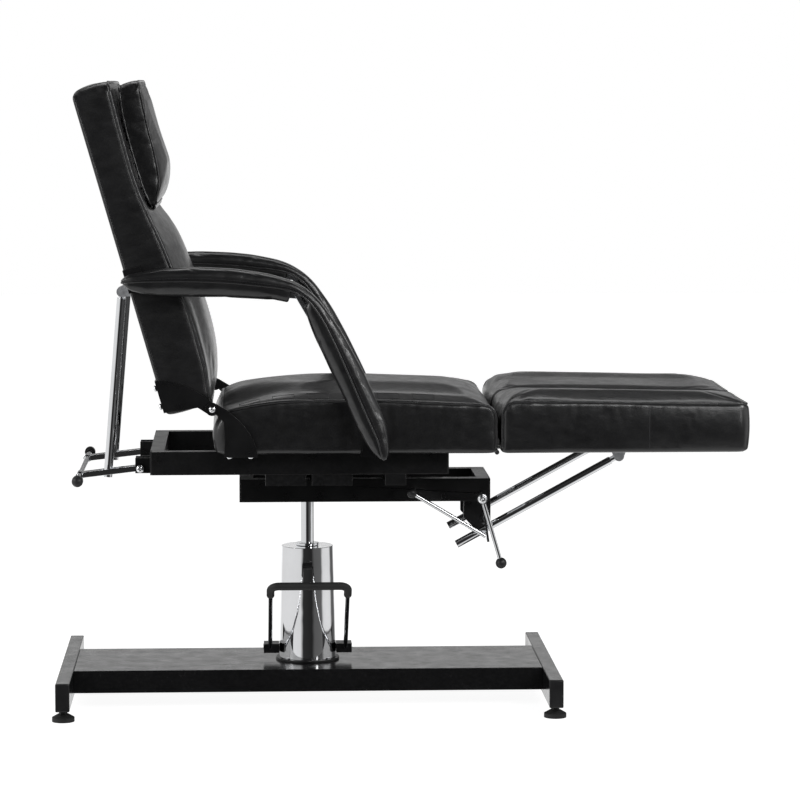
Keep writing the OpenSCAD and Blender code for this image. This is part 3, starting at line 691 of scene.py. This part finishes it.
seat_lo, seat_hi = mm_box("seat_cushion")
board_lo, _ = mm_box("seat_board")
HALF = seat_hi[1]                       # half the bed's width
SOFT_Z = seat_lo[2]                     # underside of the soft part
WRAP_Z = board_lo[2] - 0.9              # where the cover is drawn under the board
SEAT_TOP = 683.0
SEAT_X0, SEAT_X1 = seat_lo[0] - 2, seat_hi[0] + 2


def under_wrap(z, h, inset):
    """The cover turns under the board, ends in a hem, and the rest of the underside is in the board."""
    low = np.interp(inset, [0, 6, 14, 42, 50], [SOFT_Z, WRAP_Z + 1.5, WRAP_Z, WRAP_Z, SOFT_Z + 3])
    return np.where(h < 1e-6, low, z)


def end_fade(x, x0, x1, reach0, reach1, power0, power1):
    """1 along a cushion, falling to 0 at its two ends."""
    at_start = 1 - (1 - np.clip((x - x0) / reach0, 0, 1)) ** power0
    return at_start * (1 - (1 - np.clip((x1 - x) / reach1, 0, 1)) ** power1)


# Crown across a cushion: the share of its height against the place, from its edge to its middle or outer edge
SEAT_ACROSS = [(0, 0), (0.08, 0.10), (0.30, 0.13), (0.48, 0.42), (0.68, 0.84), (0.85, 0.98), (1, 1)]
LEG_ACROSS = [(0, 0), (0.26, 0.30), (0.51, 0.62), (0.78, 1.0), (0.9, 0.86), (0.96, 0.5), (1, 0)]
BACK_ACROSS = [(0, 0), (0.10, 0.16), (0.20, 0.10), (0.34, 0.44), (0.52, 0.84), (0.75, 0.97), (1, 1)]
SEAT_CROWN, LEG_CROWN = 18.0, 16.0


def seat_shape(x, y, z):
    h = (z - SOFT_Z) / (seat_hi[2] - SOFT_Z)
    z = SOFT_Z + h * (SEAT_TOP - SOFT_Z)
    inset = np.minimum(np.minimum(x - SEAT_X0, SEAT_X1 - x), HALF - np.abs(y))
    z = under_wrap(z, h, inset)
    x, z = rounded(x, z, SEAT_X1, SEAT_TOP, 1, 1, 34)       # the front falls over in one sheet
    x, z = rounded(x, z, SEAT_X0, SEAT_TOP, -1, 1, 12)
    for s in (-1, 1):
        x, y = rounded(x, y, SEAT_X0, s * HALF, -1, s, 24)
        x, y = rounded(x, y, SEAT_X1, s * HALF, 1, s, 9)
    h = np.clip((z - SOFT_Z) / (SEAT_TOP - SOFT_Z), 0, 1)
    to_rear = np.clip((SEAT_X1 - x) / (SEAT_X1 - SEAT_X0), 0, 1) ** 8
    x = x + to_rear * table_of(h, [(0, 0), (0.35, -6), (0.62, -4), (0.9, 7), (1, 11)])
    z = z - h * 9 * ramp(x, 120, 390)
    flank = 1 - np.abs(y) / HALF
    ends = end_fade(x, SEAT_X0, SEAT_X1, 70, 75, 2.4, 2.2)
    across = table_of(flank, SEAT_ACROSS)
    z = z + SEAT_CROWN * across * ends * h ** 3
    z = z - h * 22 * (1 - 0.62 * across) * np.clip((-20 - x) / 158, 0, 1.1) ** 2       # falls towards the rear
    pull = 1 - ((x - 100) / 300) ** 2
    y = y - np.sign(y) * 2.5 * np.clip(pull, 0, 1) * np.clip(np.abs(y) / HALF, 0, 1) ** 6
    return np.stack([x, y, z], 1)


def pucker(obj, seam, reach, depth, pitch, seed, where=None):
    """Small gathers that run away from a seam and fade out."""
    mesh = obj.data
    points, no = coords(mesh), normals(mesh)
    line = points[seam]
    far = np.concatenate([[0], np.cumsum(np.linalg.norm(np.diff(line, axis=0), axis=1))])
    nearest = np.concatenate([np.linalg.norm(part[:, None, :] - line[None, ::2, :], axis=2).argmin(1)
                              for part in np.array_split(points, 24)])
    gap = np.linalg.norm(points - line[::2][nearest], axis=1)
    s = far[::2][nearest]
    gather = np.sin(2 * math.pi * s / pitch + 1.7 * waves(points, 0.09, seed))
    strength = np.clip(0.5 + 0.8 * waves(points, 0.16, seed + 1), 0, 1)
    if where is not None:
        strength = strength * where(from_row(points))
    fade = np.exp(-gap / reach) * np.clip(gap / 0.006, 0, 1)
    set_coords(mesh, points + no * (depth * gather * strength * fade)[:, None])


def soften(obj, depth, length, seed, keep=None):
    """Slow hollows and swells of a stuffed cover."""
    mesh = obj.data
    points, no = coords(mesh), normals(mesh)
    amount = depth * waves(points, length, seed)
    if keep is not None:
        amount = amount * (1 - keep)
    set_coords(mesh, points + no * amount[:, None])


def sink(obj, seam, depth):
    """Draws a seam's own points into the filling."""
    mesh = obj.data
    points, no = coords(mesh), normals(mesh)
    points[seam] -= no[seam] * depth
    set_coords(mesh, points)


def trim(name, tree, seams, radius, closed=False):
    """Piping along each seam, sunk half way into the cover."""
    out = []
    for i, path in enumerate(seams):
        places, _ = settle(tree, even(path, STEP, closed), radius * 0.45)
        out.append(tube(f"{name}_piping_{i + 1}", places, radius, piping_skin, closed))
    return out


seat, seat_n, seat_s = sewn_box("seat_cover", (82, 78, 16), (SEAT_X0, -HALF, SOFT_Z),
                                (SEAT_X1, HALF, seat_hi[2]), seat_shape)
# The piping runs up the front edge of each side, along the top, and round the rear
seat_seam = line_of(seat_n, (-1, 0, slice(1, None)), (slice(None, None, -1), 0, -1), (0, slice(None), -1),
                    (slice(None), -1, -1), (-1, -1, slice(None, 0, -1)))
seat_held = np.where(seat_s[:, 2] < 0.04, 1.0, 0.0)
seat_held[seat_seam] = 1.0
puff(seat, seat_held, pressure=4.0, cap=0.010)
sink(seat, seat_seam, 0.0022)
soften(seat, 0.0011, 0.17, 11, seat_held)
pucker(seat, seat_seam, 0.026, 0.0011, 0.021, 3,
       lambda p: 0.25 + ramp(p[:, 0], 250, 380) + ramp(-p[:, 0], 110, 190))
seat_path = coords(seat.data)[seat_seam]
refine(seat)
tree = surface(seat)
seat_trim = trim("seat", tree, [seat_path], PIPING)
# Rectangles sewn into the flat strips along both sides
for i, (sign, start) in enumerate((s, -152 + 74.5 * k) for s in (-1, 1) for k in range(6)):
    corners = [(start, 226), (start + 46, 226), (start + 46, 268), (start, 268), (start, 226)]
    outline = even([(x, sign * y, SEAT_TOP + 8) for x, y in corners], 3.0, smooth=1)
    seat_trim.append(stitches(f"seat_tuck_{i + 1}", tree, to_row(outline), 0.0040, 0.0036, 0.0005))
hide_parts("seat_cushion")
dress(seat, "seat_frame", seat_trim)


# ---- Leg cushions ------------------------------------------------------------------------------

LEG_TOP = 680.0


def leg_shape(side_sign, lo, hi):
    y_in, y_out = lo[1], hi[1]

    def shape(x, y, z):
        h = (z - SOFT_Z) / (hi[2] - SOFT_Z)
        z = SOFT_Z + h * (LEG_TOP - SOFT_Z)
        inset = np.minimum(np.minimum(x - lo[0], hi[0] - x), np.minimum(y - y_in, y_out - y))
        z = under_wrap(z, h, inset)
        x, z = rounded(x, z, lo[0], LEG_TOP, -1, 1, 30)
        x, z = rounded(x, z, hi[0], LEG_TOP, 1, 1, 12)
        for edge, s in ((y_in, -1), (y_out, 1)):
            x, y = rounded(x, y, hi[0], edge, 1, s, 26 if s > 0 else 18)
            x, y = rounded(x, y, lo[0], edge, -1, s, 8)
        h = np.clip((z - SOFT_Z) / (LEG_TOP - SOFT_Z), 0, 1)
        z = z - h * 7 * ramp(x, 440, 930)
        x = x + 3.0 * np.sin(math.pi * h) * ramp(x, 880, 940)
        outward = np.clip((y - y_in) / (y_out - y_in), 0, 1)
        ends = end_fade(x, lo[0], hi[0], 70, 95, 2.4, 2.4)
        z = z + LEG_CROWN * table_of(outward, LEG_ACROSS) * ends * h ** 3
        mid = 0.5 * (y_in + y_out)
        pull = np.clip(1 - ((x - 680) / 250) ** 2, 0, 1)
        y = y - np.sign(y - mid) * 2.2 * pull * np.clip(np.abs(y - mid) / (y_out - mid), 0, 1) ** 6
        fuller = 1.5 + 5 * ramp(x, 560, 840)         # the outer side swells towards the foot
        y = y + fuller * np.sin(math.pi * h) * ramp(outward, 0.8, 1)
        return np.stack([x, side_sign * y, z], 1)

    return shape


for tag, sign in (("left", 1), ("right", -1)):
    lo, hi = mm_box(f"leg_cushion_{tag}")
    lo[1], hi[1] = sorted((abs(lo[1]), abs(hi[1])))
    hi[0] -= 3
    leg, leg_n, leg_s = sewn_box(f"leg_cover_{tag}", (76, 40, 16), (lo[0], lo[1], SOFT_Z), hi,
                                 leg_shape(sign, lo, hi))
    if sign < 0:
        leg.data.flip_normals()
    seam = line_of(leg_n, (0, -1, slice(1, None)), (slice(None), -1, -1), (-1, slice(None, None, -1), -1),
                   (slice(None, None, -1), 0, -1), (0, 0, slice(None, 0, -1)))
    held = np.where(leg_s[:, 2] < 0.04, 1.0, 0.0)
    held[seam] = 1.0
    puff(leg, held, pressure=4.0, cap=0.0045)
    sink(leg, seam, 0.0022)
    soften(leg, 0.0010, 0.15, 21 if sign > 0 else 22, held)
    pucker(leg, seam, 0.024, 0.0012, 0.018, 5 + sign,
           lambda p: 0.3 + ramp(-p[:, 0], -560, -430) + 0.6 * ramp(p[:, 0], 860, 930))
    path = coords(leg.data)[seam]
    refine(leg)
    tree = surface(leg)
    leg_trim = trim(f"leg_{tag}", tree, [path], PIPING)
    # stitches under the piping of the outer side, and the panel seam half way along it
    outer = to_row([(x, sign * (HALF + 4), LEG_TOP - 9.5 - 7 * ramp(x, 440, 930))
                    for x in np.arange(446.0, 925.0, 4)])
    leg_trim.append(stitches(f"leg_{tag}_edge_stitches", tree, outer))
    upright = to_row([(723.0, sign * (HALF + 6), z) for z in np.arange(578.0, 668.0, 4)])
    seam_line, _ = settle(tree, upright, 0.00005)
    leg_trim.append(tube(f"leg_{tag}_panel_seam", seam_line, 0.0007, thread, sides=6))
    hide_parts(f"leg_cushion_{tag}")
    dress(leg, f"leg_{tag}", leg_trim)


# ---- Backrest ----------------------------------------------------------------------------------

LEAN = math.radians(16)
HINGE = np.array([-205.0, 0.0, 667.0])
BACK_U0, BACK_U1 = 12.0, 720.0
BACK_V0 = -97.4


def from_slope(v, y, u):
    """Depth, width and height along the backrest's slope to millimetres."""
    return np.stack([HINGE[0] + v * math.cos(LEAN) - u * math.sin(LEAN), y,
                     HINGE[2] + v * math.sin(LEAN) + u * math.cos(LEAN)], -1)


# Against the height along the slope: where the front edge lies, and how far the middle stands before it
FRONT_EDGE = [(12, 3), (35, 3), (77, 9), (133, 11), (189, 11), (246, 8), (318, 1), (374, -5), (440, -15),
              (484, -20), (599, -21), (720, -17)]
BACK_CROWN = [(12, 0), (26, 10), (44, 18), (76, 22), (110, 23), (290, 22), (345, 22), (400, 14), (445, 3),
              (640, 2), (690, 1), (720, 0)]


def back_shape(v, y, u):
    """v is 0 at the rear and 1 at the front."""
    depth, wide, tall = v, y, u
    for s in (-1, 1):
        wide, tall = rounded(wide, tall, s * HALF, BACK_U1, s, 1, 24)
        wide, tall = rounded(wide, tall, s * HALF, BACK_U0, s, -1, 18)
    flank = np.clip(1 - np.abs(wide) / HALF, 0, 1)
    low = np.clip((tall - BACK_U0) / 60, 0, 1)
    front = table_of(tall, FRONT_EDGE) + table_of(tall, BACK_CROWN) * table_of(flank, BACK_ACROSS)
    vv = BACK_V0 + depth * (front - BACK_V0)
    vv, tall = rounded(vv, tall, BACK_V0, BACK_U1, -1, 1, 17)
    vv, tall = rounded(vv, tall, BACK_V0, BACK_U0, -1, -1, 10)
    middle = np.sin(math.pi * np.clip(depth, 0, 1))
    tall = tall - 7 * (1 - low) * middle * np.sqrt(flank)
    tall = tall + 4 * ramp(tall, 690, 720) * middle * np.sqrt(flank)
    pull = np.clip(1 - ((tall - 370) / 330) ** 2, 0, 1)
    wide = wide - np.sign(wide) * 2.5 * pull * np.clip(np.abs(wide) / HALF, 0, 1) ** 6
    return from_slope(vv, wide, tall)


back, back_n, back_s = sewn_box("back_cover", (14, 76, 92), (0, -HALF, BACK_U0), (1, HALF, BACK_U1), back_shape)


def loop_of(number, a):
    """The closed edge loop of the face at lattice row a."""
    return line_of(number, (a, slice(None), -1), (a, -1, slice(None, None, -1)), (a, slice(None, None, -1), 0),
                   (a, 0, slice(None)))[:-1]


front_loop = loop_of(back_n, -1)
held = np.where(back_s[:, 0] < 0.04, 1.0, 0.0)
held[front_loop] = 1.0
pillowed = (back_s[:, 2] > 0.60) & (back_s[:, 0] > 0.3)      # the part that the head pillow presses on
puff(back, held, pressure=4.0, cap=np.where(pillowed, 0.003, 0.011))
sink(back, front_loop, 0.0020)
soften(back, 0.0011, 0.18, 31, held)
pucker(back, front_loop, 0.026, 0.0011, 0.020, 9,
       lambda p: 0.25 + ramp(-p[:, 2], -830, -700) + 0.5 * ramp(p[:, 2], 1250, 1330))
front_path = coords(back.data)[front_loop]
refine(back)
tree = surface(back)
back_trim = trim("back", tree, [front_path], PIPING, closed=True)


def back_line(v_of, u0, u1, step=4.0):
    """Both sides' lines along the slope at depth v_of(u)."""
    u = np.arange(u0, u1, step)
    return [to_row(from_slope(v_of(u), np.full_like(u, s * (HALF + 5)), u)) for s in (-1, 1)]


for i, path in enumerate(back_line(lambda u: table_of(u, FRONT_EDGE) - 8.5, 34, 704)):
    back_trim.append(stitches(f"back_front_stitches_{i + 1}", tree, path))
for i, path in enumerate(back_line(lambda u: np.full_like(u, BACK_V0 + 7.0), 30, 704)):
    back_trim.append(stitches(f"back_rear_stitches_{i + 1}", tree, path, radius=0.0005))
    places, _ = settle(tree, even(path - np.array([3.2 / MM, 0, 0]), STEP), 0.0001)
    back_trim.append(tube(f"back_rear_seam_{i + 1}", places, 0.0012, piping_skin, sides=6))
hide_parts("back_cushion")
dress(back, "backrest", back_trim)


# ---- Head pillow -------------------------------------------------------------------------------

pillow_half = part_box("headrest_pillow")[1].y * MM
SEAM_V = [(444, 4), (460, 11), (484, 24), (514, 30), (544, 33), (602, 35), (671, 40), (706, 43)]
MID_V = [(444, 8), (460, 24), (480, 39), (500, 44), (530, 44), (600, 41), (671, 41), (706, 42)]
REAR_V = [(444, -4), (459, -8), (524, -12), (584, -12), (653, -8), (706, 0)]


def pillow_shape(v, y, u):
    depth, wide, tall = v, y, u
    for s in (-1, 1):
        wide, tall = rounded(wide, tall, s * pillow_half, 706, s, 1, 22)
        wide, tall = rounded(wide, tall, s * pillow_half, 444, s, -1, 14)
    flank = np.clip(1 - np.abs(wide) / pillow_half, 0, 1)
    across = table_of(flank, [(0, 0), (0.1, 0.35), (0.25, 0.72), (0.5, 0.94), (1, 1)])
    seam, mid = table_of(tall, SEAM_V), table_of(tall, MID_V)
    front = seam + (mid - seam) * across
    rear = table_of(tall, REAR_V)
    vv = rear + depth * (front - rear)
    middle = np.sin(math.pi * np.clip(depth, 0, 1))
    tall = tall - 9 * ramp(-tall, -480, -444) * middle * np.clip(flank * 9, 0, 1)
    tall = tall + 3 * ramp(tall, 690, 706) * middle * np.sqrt(flank)
    pull = np.clip(1 - ((tall - 575) / 120) ** 2, 0, 1)
    wide = wide - np.sign(wide) * 2.0 * pull * np.clip(np.abs(wide) / pillow_half, 0, 1) ** 6
    return from_slope(vv, wide, tall)


pillow, pillow_n, pillow_s = sewn_box("pillow_cover", (9, 64, 44), (0, -pillow_half, 444),
                                      (1, pillow_half, 706), pillow_shape)
front_loop, rear_loop = loop_of(pillow_n, -1), loop_of(pillow_n, 0)
held = np.where(pillow_s[:, 0] < 0.04, 1.0, 0.0)
held[front_loop] = 1.0
puff(pillow, held, pressure=4.0, cap=0.008, slack=0.006)
sink(pillow, front_loop, 0.0020)
soften(pillow, 0.0008, 0.11, 41, held)
pucker(pillow, front_loop, 0.022, 0.0012, 0.017, 13, lambda p: 0.3 + ramp(-p[:, 2], -1240, -1120))
front_path, rear_path = coords(pillow.data)[front_loop], coords(pillow.data)[rear_loop]
refine(pillow)
pillow_trim = trim("pillow", surface(pillow), [front_path, rear_path], 0.0022, closed=True)
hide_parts("headrest_pillow")
dress(pillow, "backrest", pillow_trim)


# ---- Armrests ----------------------------------------------------------------------------------

OUTER = [(-394, 941), (-384, 950), (-360, 957), (-309, 964), (-240, 966), (-174, 965), (-110, 958), (-62, 948),
         (-30, 937), (-5, 922), (18, 901), (50, 857), (82, 803), (114, 738), (146, 671), (160, 638), (166, 604),
         (166, 578), (161, 563)]
SEAM = [(-392, 938), (-382, 938), (-358, 940), (-309, 941), (-240, 941), (-174, 938), (-110, 932), (-62, 926),
        (-36, 920), (-17, 911), (-3, 900), (19, 872), (50, 814), (82, 742), (113, 670), (128, 636), (143, 602),
        (151, 572), (155, 564)]
ARM_UNDER = [(-390, 936), (-381, 926), (-358, 917), (-309, 912), (-240, 910), (-174, 909), (-110, 904),
             (-72, 901), (-44, 895)]
STRUT_UNDER = [(-12, 886), (-3, 860), (17, 815), (49, 748), (81, 680), (102, 632), (114, 606), (128, 584),
               (146, 566)]
ARM_HALF = 28.0


def curve_of(points, count):
    """A smooth run of points through a drawn outline."""
    p = np.array(points, float)
    far = np.concatenate([[0], np.cumsum(np.linalg.norm(np.diff(p, axis=0), axis=1))])
    at = np.linspace(0, far[-1], count)
    return np.stack([table_of(at, list(zip(far, p[:, c]))) for c in (0, 1)], 1)


def sleeve(name, outer, seam, centre_y, count, fullness, width=ARM_HALF):
    """A half sleeve of leatherette: from one edge of the seam over the outer line to the other edge."""
    around = 22
    outer, seam = np.asarray(outer), np.asarray(seam)
    angle = np.linspace(0, math.pi, around + 1)
    across = np.sign(np.cos(angle)) * np.abs(np.cos(angle)) ** 0.62
    rise = np.abs(np.sin(angle)) ** fullness
    points = []
    for k in range(count):
        o, s = outer[k], seam[k]
        t = k / (count - 1)
        narrow = 1 - 0.32 * (1 - min(1, t / 0.05)) ** 2 - 0.12 * (1 - min(1, (1 - t) / 0.04)) ** 2
        for c, r in zip(across, rise):
            xz = s + (o - s) * r
            points.append((xz[0], centre_y + width * narrow * c, xz[1]))
        # the hidden inner face, a little beyond the seam
        back_xz = s - (o - s) * 0.12
        for c in np.linspace(-0.9, 0.9, 7):
            points.append((back_xz[0], centre_y + width * narrow * c, back_xz[1]))
    ring = around + 1 + 7
    faces = [(k * ring + i, (k + 1) * ring + i, (k + 1) * ring + (i + 1) % ring, k * ring + (i + 1) % ring)
             for k in range(count - 1) for i in range(ring)]
    faces.append(tuple(range(ring)))
    faces.append(tuple((count - 1) * ring + i for i in range(ring))[::-1])
    obj = new_object(name, to_row(points), faces, leather)
    edges = [np.array([k * ring + i for k in range(count)]) for i in (0, around)]
    held = np.ones(len(points))
    for k in range(1, count - 1):
        held[k * ring + 2: k * ring + around - 1] = 0.0
    return obj, edges, held


ELBOW = np.array([-20.0, 0.0, 914.0])
ARM_ROWS = 120
outer_line, seam_line = curve_of(OUTER, ARM_ROWS), curve_of(SEAM, ARM_ROWS)
for tag, sign in (("left", 1), ("right", -1)):
    lo, hi = mm_box(f"arm_pad_{tag}")
    centre_y = (lo[1] + hi[1]) / 2
    top, edges, held = sleeve(f"armrest_top_{tag}", outer_line, seam_line, centre_y, ARM_ROWS, 0.42)
    facing_out(top)
    puff(top, held, pressure=3.0, cap=0.004)
    soften(top, 0.0006, 0.08, 51 + sign, held)
    lines = [coords(top.data)[e] for e in edges]
    refine(top)
    tree = surface(top)
    trims = [tube(f"armrest_top_{tag}_piping_{i + 1}", line + np.array([0, s * 0.0004, 0]), 0.0021, piping_skin)
             for i, (line, s) in enumerate(zip(lines, (1, -1)))]
    crest = to_row(np.stack([outer_line[:, 0], np.full(ARM_ROWS, centre_y), outer_line[:, 1]], 1))
    for i, (line, s) in enumerate(zip(lines, (1, -1))):
        near_edge = line + (crest - line) * np.array([0.22, 0, 0.22]) + np.array([0, s * 0.004, 0])
        trims.append(stitches(f"armrest_top_{tag}_stitches_{i + 1}", tree, near_edge[5:-5], radius=0.0005))
    elbow = to_row(ELBOW)
    blended = ("strut_" + tag, "arm_" + tag, tuple(elbow + np.array([0.055, 0, -0.070])),
               tuple(elbow + np.array([-0.085, 0, 0.012])))
    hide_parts(f"arm_pad_{tag}", f"strut_pad_{tag}")
    dress(top, None, trims, blended)

    seam_arm = curve_of([p for p in SEAM if p[0] <= -36], 70)
    under, _, held = sleeve(f"armrest_sleeve_{tag}", curve_of(ARM_UNDER, 70), seam_arm, centre_y, 70, 0.5)
    facing_out(under)
    puff(under, held, pressure=3.0, cap=0.004)
    soften(under, 0.0007, 0.07, 61 + sign, held)
    refine(under)
    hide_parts(f"arm_pad_{tag}")
    dress(under, f"arm_{tag}")

    seam_strut = curve_of([p for p in SEAM if p[0] >= -3], 64)
    rear, _, held = sleeve(f"strut_sleeve_{tag}", curve_of(STRUT_UNDER, 64), seam_strut, centre_y, 64, 0.5)
    facing_out(rear)
    puff(rear, held, pressure=3.0, cap=0.004)
    soften(rear, 0.0007, 0.07, 71 + sign, held)
    refine(rear)
    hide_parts(f"strut_pad_{tag}")
    dress(rear, f"strut_{tag}")


# ---- Screw heads -------------------------------------------------------------------------------


def screws(name, body, places):
    """Domed screw heads on washers, each with a hexagon socket: (place, outward, radius, height)."""
    sides = 24
    angle = np.arange(sides) * 2 * math.pi / sides
    hexagon = math.cos(math.pi / 6) / np.cos((angle + math.pi / 6) % (math.pi / 3) - math.pi / 6)
    # radius and height as shares, and whether the ring is round or six-sided
    profile = ((1.32, 0.0, 0), (1.32, 0.20, 0), (1.26, 0.26, 0), (1.0, 0.27, 0), (1.0, 0.55, 0),
               (0.93, 0.78, 0), (0.76, 0.94, 0), (0.52, 1.0, 0), (0.46, 0.98, 1), (0.44, 0.5, 1))
    points, faces = [], []
    for at, outward, radius, height in places:
        out = np.array(outward, float)
        side = np.cross(out, [0.3, 0.2, 0.9])
        side /= np.linalg.norm(side)
        up = np.cross(out, side)
        first = len(points)
        for r, h, six in profile:
            reach = radius * r * (hexagon if six else np.ones(sides))
            for a, d in zip(angle, reach):
                spoke = math.cos(a) * side + math.sin(a) * up
                points.append(np.array(at) + out * (h * height - 0.2) + d * spoke)
        for ring in range(len(profile) - 1):
            for k in range(sides):
                k2 = (k + 1) % sides
                a, b = first + ring * sides, first + (ring + 1) * sides
                faces.append((a + k, a + k2, b + k2, b + k))
        faces.append(tuple(first + k for k in range(sides))[::-1])
        faces.append(tuple(first + (len(profile) - 1) * sides + k for k in range(sides)))
    piece = new_object(name, to_row(points), faces, chrome)
    facing_out(piece)
    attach(piece, body)


hinge_face = mm_box("pivot_bolts")[1][1]
handle_face = mm_box("handle_brackets")[1][1] + 7.0
hub_face = mm_box("leg_lock_left")[0][1] + 0.4
screws("hinge_screws", "seat_frame",
       [((-205, s * hinge_face, 667), (0, s, 0), 4.9, 4.0) for s in (-1, 1)]
       + [((x, s * (HALF - 25), board_lo[2] - 8.0), (0, 0, -1), 5.5, 3.5)
          for s in (-1, 1) for x in (-169, -124)]
       + [((-361, s * handle_face, 529), (0, s, 0), 6.2, 4.5) for s in (-1, 1)])
screws("lever_screw", "leg_lock_left", [((374, hub_face, 460), (0, -1, 0), 7.5, 3.5)])
screws("backrest_screws", "backrest",
       [(tuple(from_slope(-103.0, s * (HALF - 8), u)), (-math.cos(LEAN), 0, -math.sin(LEAN)), 5.6, 4.0)
        for s in (-1, 1) for u in (34.0, 74.0)])


# ---- The end -----------------------------------------------------------------------------------

bpy.context.view_layer.update()
